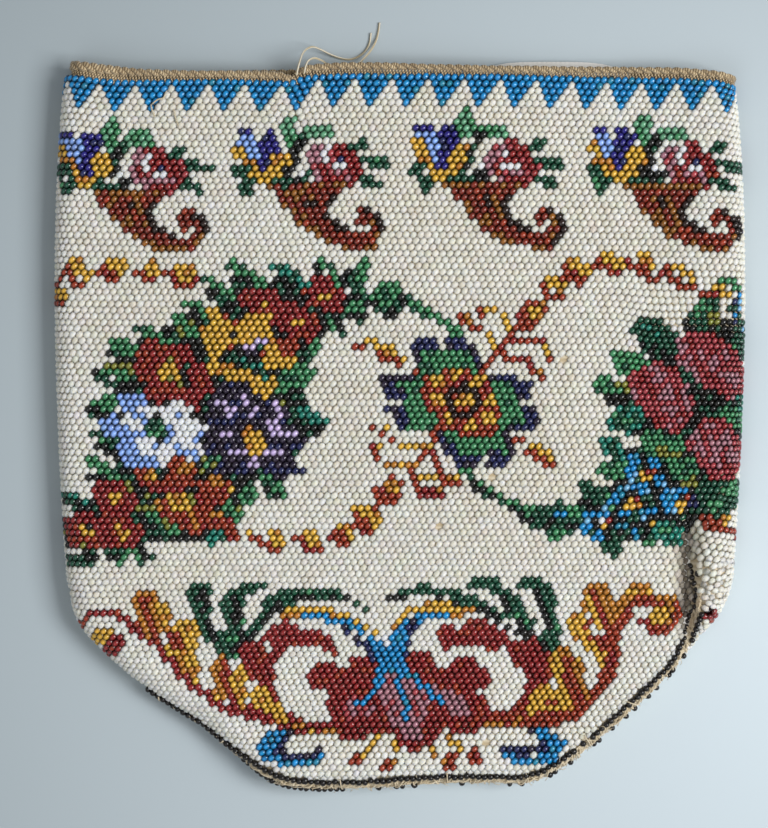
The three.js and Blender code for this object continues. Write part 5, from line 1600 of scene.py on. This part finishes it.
POUCH_FOOT = BODY_LENGTH - EDGE_ROLL + QUARTER
SIDE_CROWDING = 1.4  # exponent that crowds a pouch's columns towards its folds
GROUND_GRID = (71, 84)  # columns and rows of one side
LINING_GRID = (61, 44)
LINING_DEPTH = WALL + 0.3
LINING_THICKNESS = 0.3
LINING_SET = 2.0  # below the mouth edge
PEEK_FROM, PEEK_TO = 14.0, 60.0  # across the bag, where it shows
PEEK_TOP = 4.5  # above the mouth edge


def pouch(tops, depth, columns, rows):
    """A closed-bottomed bag under the beads: each row runs across the front and back across the back.

    Rows are spread from the top, which may differ along it, to the foot, where front and back are one.
    Returns points and quads, without the points that the foot leaves over.
    """
    share = np.linspace(-1, 1, columns)
    share = np.sign(share) * (1 - (1 - np.abs(share)) ** SIDE_CROWDING)
    down = np.linspace(0, 1, rows)
    sheets = []
    for back in (False, True):
        top = tops(share * MOUTH_WIDTH / 2, back)
        drop = top + down[:, None] * (POUCH_FOOT + foot_sag(share * FOOT_WIDTH / 2) - top)
        x = flat_half_width(drop) * share
        sheet = place(np.stack([x, drop], -1).reshape(-1, 2), back, depth).reshape(rows, columns, 3)
        sheets.append(sheet if not back else sheet[:, -2:0:-1])
    ring = np.concatenate(sheets, axis=1)
    around = ring.shape[1]
    index = np.arange(rows * around).reshape(rows, around)
    index[-1, columns:] = index[-1, columns - 2:0:-1]
    beside = np.roll(index, -1, axis=1)
    quads = np.stack([index[:-1], index[1:], beside[1:], beside[:-1]], -1).reshape(-1, 4)
    used, numbers = np.unique(quads, return_inverse=True)
    return ring.reshape(-1, 3)[used], numbers.reshape(quads.shape)


def add_pouch(name, points, quads, thickness, offset, *looks):
    """A pouch with its thickness: inwards at an offset of -1, to both sides at 0."""
    piece = add_piece(name, points, quads.ravel(), np.arange(len(quads)) * 4, *looks)
    wall = piece.modifiers.new("wall", "SOLIDIFY")
    wall.thickness = thickness * MM
    wall.offset = offset
    return piece


def add_ground():
    """The knitting that carries the beads: a pouch a bead's height under their tops."""
    sheet = pouch(lambda x, back: 0 * x, BEAD_RISE, *GROUND_GRID)
    add_pouch("knitted_ground", *sheet, GROUND_THICKNESS, -1, [linen], "ivory_beads", ["beaded_bag"])


def lining_top(x, back):
    """The lining stops short of the mouth, and its back has slipped up in a low arch."""
    if not back:
        return LINING_SET + 0 * x
    middle, reach = (PEEK_FROM + PEEK_TO) / 2, (PEEK_TO - PEEK_FROM) / 2
    arch = np.clip(1 - ((x - middle) / reach) ** 4, 0, 1)
    return LINING_SET - arch * (LINING_SET + PEEK_TOP)


def add_lining():
    """White cotton inside: one cut, folded at the foot and sewn up the sides.
    """
    points, quads = pouch(lining_top, LINING_DEPTH, *LINING_GRID)
    piece = add_pouch(
        "cotton_lining", points, quads, LINING_THICKNESS, 0, [cotton], "white_cotton", ["lining"]
    )


# Crocheted rim

RIM_JOIN = (-26.0, -26.4)  # where its two ends meet on the front
RIM_TWIST = 4.4  # along the rim for one turn of its two strands
RIM_STRAND = 0.54  # radius
RIM_TURN = 0.42  # radius of the twist
RIM_MIDDLE = 1.55  # above the mouth edge
RIM_LEG_PITCH = 0.8
RIM_LEG = 0.27  # radius
RIM_BROADER = 0.4  # share by which it stands taller at the front's left end
RIM_BROAD_AT = (-80, -52)
RIM_DRAWN_IN = 1.6  # at the left end
RIM_DRAWN_AT = (64, 84)
RIM_STEP = 0.32  # along the strands
RIM_SIDES = 6  # of a strand or a leg
RIM_TAPER, RIM_THIN = 2.5, 0.35  # length in which a strand thins at the join, and what is left of it
RIM_DIPS = (1.1, 0.9)  # of the strands and of the legs, at the end that hangs lower
RIM_DIP_RUN = 5.0
LEG_LEAN, LEG_STRAY = -0.8, 0.2  # along the rim, from foot to top
LEG_STEPS = 5
LEG_FOOT, LEG_TOP = -0.9, RIM_MIDDLE - 0.1  # above the mouth edge
LEG_BOW = 0.28
THREAD_STRAY = 0.12  # share by which threads differ in thickness


def mouth_loop(spacing):
    """The mouth's own line, from the rim's join to the right, round the back and to the join again.

    Two straights joined by half ellipses, stepped evenly. Returns x, z, the way out and the length.
    """
    flat = MOUTH_WIDTH / 2 - EDGE_ROLL
    wide, high = EDGE_ROLL - WALL / 2, HALF - WALL / 2
    turn = np.linspace(0, math.pi, 40)
    right = np.column_stack([flat + wide * np.sin(turn), high * np.cos(turn)])
    line = np.concatenate([[[RIM_JOIN[1], high]], right, -right, [[RIM_JOIN[0], high]]])
    length = np.concatenate([[0], np.linalg.norm(np.diff(line, axis=0), axis=1).cumsum()])
    even = np.linspace(0, length[-1], round(length[-1] / spacing))
    x, z = (np.interp(even, length, line[:, i]) for i in (0, 1))
    way = unit(np.column_stack([np.gradient(x), np.gradient(z)]))
    x = x + RIM_DRAWN_IN * smooth_step(-x, *RIM_DRAWN_AT)
    return x, HALF + z, np.column_stack([-way[:, 1], way[:, 0]]), even


def rim_height(x, z):
    """How much taller the rim stands: at the front's left end it has turned its broad side up."""
    return 1 + RIM_BROADER * (z > HALF) * (1 - smooth_step(x, *RIM_BROAD_AT))


def rim_strands():
    """Two uneven strands that wind round each other along the mouth and hang with the front's sag."""
    x, z, out, length = mouth_loop(RIM_STEP)
    left = length[-1] - length
    swell = 1 + 0.1 * np.sin(length / 7.3) + 0.06 * np.sin(length / 2.9)
    taper = RIM_THIN + (1 - RIM_THIN) * smooth_step(length, 0, RIM_TAPER) * smooth_step(left, 0, RIM_TAPER)
    dip = RIM_DIPS[0] * (1 - smooth_step(left, 0, RIM_DIP_RUN))
    tall = rim_height(x, z)
    parts = []
    for half_turn in (0, math.pi):
        phase = half_turn - 2 * math.pi * length / RIM_TWIST + 0.4 * np.sin(length / 5.1)
        rise = (RIM_MIDDLE + RIM_TURN * np.sin(phase)) * tall - dip + 0.3 * np.sin(length / 11)
        centre = settle(x, -rise, z)
        centre[:, [0, 2]] += (RIM_TURN * np.cos(phase))[:, None] * out
        parts.append(tubes(centre[None], (RIM_STRAND * swell * taper * tall)[None], RIM_SIDES, (0, 1, 0.35)))
    return parts


def rim_legs():
    """Slanting legs, bowed a little outwards, that go from the strands down into the beads."""
    x, z, out, length = mouth_loop(RIM_LEG_PITCH)
    lean = strayed(LEG_LEAN, LEG_STRAY, len(x)) * np.linspace(-0.5, 0.5, LEG_STEPS)
    bow = LEG_BOW * np.sin(np.linspace(0, math.pi, LEG_STEPS))
    leg_x = x[:, None] + out[:, 1:] * lean + out[:, :1] * bow
    leg_z = z[:, None] - out[:, :1] * lean + out[:, 1:] * bow
    dip = RIM_DIPS[1] * (1 - smooth_step(length[-1] - length, 0, RIM_DIP_RUN))[:, None]
    rise = np.linspace(LEG_FOOT, LEG_TOP, LEG_STEPS) * rim_height(leg_x, leg_z) - dip
    radius = RIM_LEG * strayed(1, THREAD_STRAY, len(x))
    return tubes(settle(leg_x, -rise, leg_z), radius, RIM_SIDES, (1, 0.2, 0.4))


def add_rim():
    """The crocheted edging: its strands and its legs, as one piece."""
    parts = [*rim_strands(), rim_legs()]
    add_thread_piece("crocheted_rim", parts, 0.9, crochet_thread, "tan_thread", ["crochet_rim"])


# Seam

SEAM_STEPS = 400


def edge_place(along, rise, lift):
    """A place on the rolled edge: `rise` up from the silhouette at a length along the hem, lifted off it."""
    point = np.column_stack([np.interp(along, edge_along, edge_points[:, i]) for i in (0, 1)])
    normal = unit(np.column_stack([np.interp(along, edge_along, edge_normals[:, i]) for i in (0, 1)]))
    turn = math.pi / 2 * np.clip(rise / QUARTER, -1, 1)
    inset = EDGE_ROLL * (1 - np.cos(turn)) + np.maximum(0, rise - QUARTER)
    sideways, upward = np.cos(turn) / EDGE_ROLL, np.sin(turn) / HALF
    size = np.hypot(sideways, upward)
    plan = point + normal * (lift * sideways / size - inset)[:, None]
    z = HALF + HALF * np.sin(turn) + lift * upward / size
    return settle(plan[:, 0], plan[:, 1], z)


def seam_line(share, aside, lift):
    """The seam's own line: `aside` up or down the edge from its middle."""
    return edge_place(SEAM_START + share * SEAM_LENGTH, seam_rise(share) + aside, lift)


def along_line(aside, lift, pitch):
    """Shares of the seam at which one of its lines has gone on by equal steps."""
    share = np.linspace(0, 1, SEAM_STEPS)
    gone = np.linalg.norm(np.diff(seam_line(share, aside, lift), axis=0), axis=1).cumsum()
    return np.interp(np.arange(pitch / 2, gone[-1], pitch), np.concatenate([[0], gone]), share)


def seam_paths(share, aside, lift):
    """Lines along or across the seam, from measures that make a grid of lines and steps."""
    share, aside, lift = np.broadcast_arrays(share, aside, lift)
    return seam_line(share.ravel(), aside.ravel(), lift.ravel()).reshape(*share.shape, 3)


EDGE_BEAD_RINGS, EDGE_BEAD_SIDES = 7, 8
EDGE_BEAD_REACH, EDGE_BEAD_GIRTH = 0.465, 0.55  # of its diameter, from its middle to its hole and its side
EDGE_BEAD_HOLE = 0.22  # of its girth
EDGE_BEAD_FULLNESS = 0.75  # exponent of its profile: 1 is an ellipse
EDGE_WANDER, EDGE_TILT = 0.14, 0.12
EDGE_REACH_STRAY, EDGE_GIRTH_STRAY = 0.08, 0.06
LOOK_AHEAD = 0.002  # share of the seam, to find its direction
# Share of the beads that is lost: how many more, and between which shares of the seam that sets in.
# Most of the back row is lost or tucked in from the foot on, and less of it up the right hem.
LOST_FRONT = [(0.02, (-1, 0))]
LOST_BACK = [(0.85, (0.35, 0.38)), (-0.35, (0.6, 0.66))]


def add_edge_beads(name, node, aside, losses):
    """A row of dark beads strung along one panel's edge: rings that swell round the thread's line."""
    share = along_line(aside, ROW_LIFT, EDGE_BEAD_PITCH)
    lost = sum(more * smooth_step(share, *between) for more, between in losses)
    share = share[(rng.random(len(share)) >= lost) & (share > SEAM_SHOWS_FROM)]
    count = len(share)
    aside = aside + EDGE_WANDER * rng.standard_normal(count) - aside * rows_closed(share)
    middle = seam_line(share, aside, ROW_LIFT)
    ahead = seam_line(share + LOOK_AHEAD, aside, ROW_LIFT) - middle
    axis = unit(ahead + EDGE_TILT * rng.standard_normal(middle.shape) * np.linalg.norm(ahead))
    turn = np.linspace(-1, 1, EDGE_BEAD_RINGS) * math.pi / 2
    reach = EDGE_BEAD_REACH * EDGE_BEAD * np.exp(strayed(0, EDGE_REACH_STRAY, count))
    girth = EDGE_BEAD_GIRTH * EDGE_BEAD * np.exp(strayed(0, EDGE_GIRTH_STRAY, count))
    paths = middle[:, None] + axis[:, None] * (np.sin(turn) * reach)[:, :, None]
    bulge = np.cos(turn) ** EDGE_BEAD_FULLNESS
    bulge[[0, -1]] = EDGE_BEAD_HOLE
    points, corners, starts, _ = tubes(paths, girth * bulge, EDGE_BEAD_SIDES, (0.11, 0.07, 1))
    add_piece(name, points, corners, starts, [jet], "dark_beads", [node])


STITCHED_TO = 0.955  # share of the seam
STITCH_SIDES = 6
STITCH_STEPS = 7
NEARLY_UP = (0.05, 0.03, 1)  # no thread runs quite this way
WHIP_PITCH = 0.45
WHIP_RADIUS = 0.2
WHIP_REACH = 1.0  # to each side of the seam's middle
WHIP_SLANT = 0.8  # along the seam, for half a stitch
WHIP_STRAY = (0.0012, 0.9, 0.4, 0.3)  # in its place, slant, reach and lift
WHIP_SUNK, WHIP_FULLNESS = 0.3, 0.6  # how deep its ends are, and the exponent of its arch
CORE_STRANDS, CORE_STEPS = 4, 240
CORE_RADIUS, CORE_LIFT = 0.33, -0.35
CORE_SPREAD = 0.8  # of the whip stitches' reach
LONG_STITCHES, LONG_RADIUS = 8, 0.17
LONG_BETWEEN, LONG_STRAY, LONG_SLANT = (0.14, 0.9), 0.03, 0.004  # shares of the seam
LONG_FROM, LONG_TO, LONG_TO_STRAY = -0.9, 2.7, 0.4  # up the edge from the seam's middle
LONG_ENDS, LONG_ARCH = 0.3, 0.6  # over the bead tops
FIBRES, FIBRE_RADIUS, FIBRE_STEPS, FIBRE_SIDES = 170, 0.08, 4, 4
FIBRE_RUN, FIBRE_ACROSS = 1.3, 1.2  # how far they stray along and across the seam
FIBRE_ROOTS, FIBRE_HEIGHTS = (-1.2, 1.0), (0.3, 1.3)


def whip_stitches():
    """Slanting half loops over the joined edges, from one row of beads to the other."""
    share = along_line(0, STITCH_LIFT, WHIP_PITCH)
    share = share[(share > SEAM_SHOWS_FROM) & (share < STITCHED_TO), None]
    count = len(share)
    steps = np.linspace(-1, 1, STITCH_STEPS)
    share = strayed(share, WHIP_STRAY[0], count)
    slant = strayed(WHIP_SLANT, WHIP_STRAY[1], count) / SEAM_LENGTH
    reach = strayed(WHIP_REACH, WHIP_STRAY[2], count) * (1 - rows_closed(share))
    arch = strayed(STITCH_LIFT, WHIP_STRAY[3], count) * np.cos(steps * math.pi / 2) ** WHIP_FULLNESS
    paths = seam_paths(share + slant * steps, reach * steps, arch - WHIP_SUNK)
    return tubes(paths, WHIP_RADIUS * strayed(1, THREAD_STRAY, count), STITCH_SIDES, NEARLY_UP)


def core_strands():
    """The threads under the whip stitches: they run along the seam, swaying aside and up and down."""
    share = np.linspace(SEAM_SHOWS_FROM, STITCHED_TO, CORE_STEPS)
    aside = (np.linspace(-CORE_SPREAD, CORE_SPREAD, CORE_STRANDS) * WHIP_REACH)[:, None]
    sway = aside * (1 - rows_closed(share)) + 0.25 * np.sin(share * 190 + 5 * aside)
    paths = seam_paths(share, sway, CORE_LIFT + 0.1 * np.sin(share * 330 + 3 * aside))
    return tubes(paths, CORE_RADIUS, STITCH_SIDES, NEARLY_UP)


def long_stitches():
    """The few stitches that reach right over the front row of beads."""
    count = LONG_STITCHES
    share = strayed(np.linspace(*LONG_BETWEEN, count)[:, None], LONG_STRAY, count)
    steps = np.linspace(0, 1, STITCH_STEPS)
    across = LONG_FROM + (strayed(LONG_TO, LONG_TO_STRAY, count) - LONG_FROM) * steps
    share = share + strayed(0, LONG_SLANT, count) * np.linspace(-1, 1, STITCH_STEPS)
    paths = seam_paths(share, across, LONG_ENDS + LONG_ARCH * np.sin(math.pi * steps))
    return tubes(paths, LONG_RADIUS, STITCH_SIDES, NEARLY_UP)


def loose_fibres():
    """Fine fibres that stand off the thread, rising fast at first and then falling over."""
    one_each = (FIBRES, 1)
    steps = np.linspace(0, 1, FIBRE_STEPS)
    share = rng.uniform(SEAM_SHOWS_FROM, STITCHED_TO, one_each)
    share = share + rng.normal(0, FIBRE_RUN, one_each) / SEAM_LENGTH * steps
    across = rng.uniform(*FIBRE_ROOTS, one_each) + rng.normal(0, FIBRE_ACROSS, one_each) * steps
    tall = 0.1 + rng.uniform(*FIBRE_HEIGHTS, one_each) * steps * (1.5 - steps)
    return tubes(seam_paths(share, across, tall), FIBRE_RADIUS, FIBRE_SIDES, NEARLY_UP)


def add_stitching():
    """All the sewing thread of the seam, as one piece."""
    parts = [whip_stitches(), core_strands(), long_stitches(), loose_fibres()]
    add_thread_piece("seam_whip_stitches", parts, 1.4, sewing_thread, "tan_thread", ["seam_stitching"])


# Repair stitches on the front, near the upper left corner

REPAIRS = [
    [(-62.3, 6.1), (-62.0, 7.6), (-61.2, 9.6)],
    [(-62.2, 6.2), (-60.6, 5.0), (-59.2, 4.6), (-58.3, 2.6)],
    [(-56.6, 7.2), (-56.3, 9.2), (-55.2, 12.4)],
]
REPAIR_RADIUS = 0.2
REPAIR_SIDES = 7
REPAIR_OVER, REPAIR_SUNK = 0.12, 1.0  # over the bead tops, and down from there at its ends


def add_repairs():
    """Three long stitches that lie over the beads and go down between them at both ends."""
    parts = []
    for line in REPAIRS:
        path = smooth_path(np.column_stack([line, np.zeros(len(line))]), PATH_STEPS)[:, :2]
        path = place(path, False, 0.0)
        path[:, 2] += REPAIR_OVER - REPAIR_SUNK * np.linspace(-1, 1, len(path)) ** 6
        parts.append(tubes(path[None], REPAIR_RADIUS, REPAIR_SIDES, (0.1, 0.05, 1)))
    add_thread_piece("repair_stitches", parts, 1.4, cream_thread, "cream_thread")


add_beads(False, *FRONT_BEAD)
add_beads(True, *BACK_BEAD)
add_ground()
add_lining()
add_rim()
add_edge_beads("front_jet_beads", "front_edge_beads", FRONT_ROW, LOST_FRONT)
add_edge_beads("back_jet_beads", "back_edge_beads", BACK_ROW, LOST_BACK)
add_stitching()
add_repairs()

# Floor, world and lamps

FLOOR_SIZE = 6.0  # metres, as are the places of the lamps
# Painted light on the floor: brightest at a point by the bag's right side, greyer away from it
FLOOR_LIGHT_POOL_MIDDLE = (0.11, -0.045, 0.0)
FLOOR_LIGHT_POOL_REACH = 0.26  # away from there


def add_floor():
    """A plain pale table top with a painted pool of light: greyer away from the bag's right side."""
    mesh = bpy.data.meshes.new("floor")
    edge = FLOOR_SIZE / 2
    corners = [(-edge, -edge, 0), (edge, -edge, 0), (edge, edge, 0), (-edge, edge, 0)]
    mesh.from_pydata(corners, [], [(0, 1, 2, 3)])
    material, tree, shader, coords = new_material("table_top_with_painted_light")
    away = add_node(
        tree, "VectorMath", "Value", {"operation": "DISTANCE"}, _0=coords["Object"], _1=FLOOR_LIGHT_POOL_MIDDLE
    )
    # painted light: the floor greys with distance from the pool's middle
    painted_falloff = add_node(tree, "MapRange", Value=away, _2=FLOOR_LIGHT_POOL_REACH)
    colour = add_node(tree, "Mix", 2, OF_COLOURS, _0=painted_falloff, _6=linear("#D0DDE4"), _7=linear("#9DA8AD"))
    feed(tree, shader, Base_Color=colour, Roughness=0.6)
    mesh.materials.append(material)
    floor = bpy.data.objects.new("floor", mesh)
    bpy.context.scene.collection.objects.link(floor)


def add_lamp(name, location, size, power, colour):
    """A square soft lamp that faces the bag."""
    data = bpy.data.lights.new(name, "AREA")
    data.shape = "SQUARE"
    data.size = size
    data.energy = power
    data.color = linear(colour)[:3]
    lamp = bpy.data.objects.new(name, data)
    lamp.location = location
    direction = -lamp.location
    lamp.rotation_euler = direction.to_track_quat("-Z", "Y").to_euler()
    bpy.context.scene.collection.objects.link(lamp)


def add_world():
    """Even, faintly blue light from all round."""
    world = bpy.data.worlds.new("soft_room")
    bpy.context.scene.world = world
    world.use_nodes = True
    background = world.node_tree.nodes["Background"]
    background.inputs["Color"].default_value = linear("#EEF0F2")
    background.inputs["Strength"].default_value = 0.36


add_floor()
add_lamp("window", (0.85, -0.05, 1.0), 0.65, 15.2, "#FFFFFF")
add_lamp("fill", (-0.5, -0.6, 1.3), 0.9, 3.2, "#FAFCFF")
add_world()

bpy.context.scene.view_settings.view_transform = "Standard"
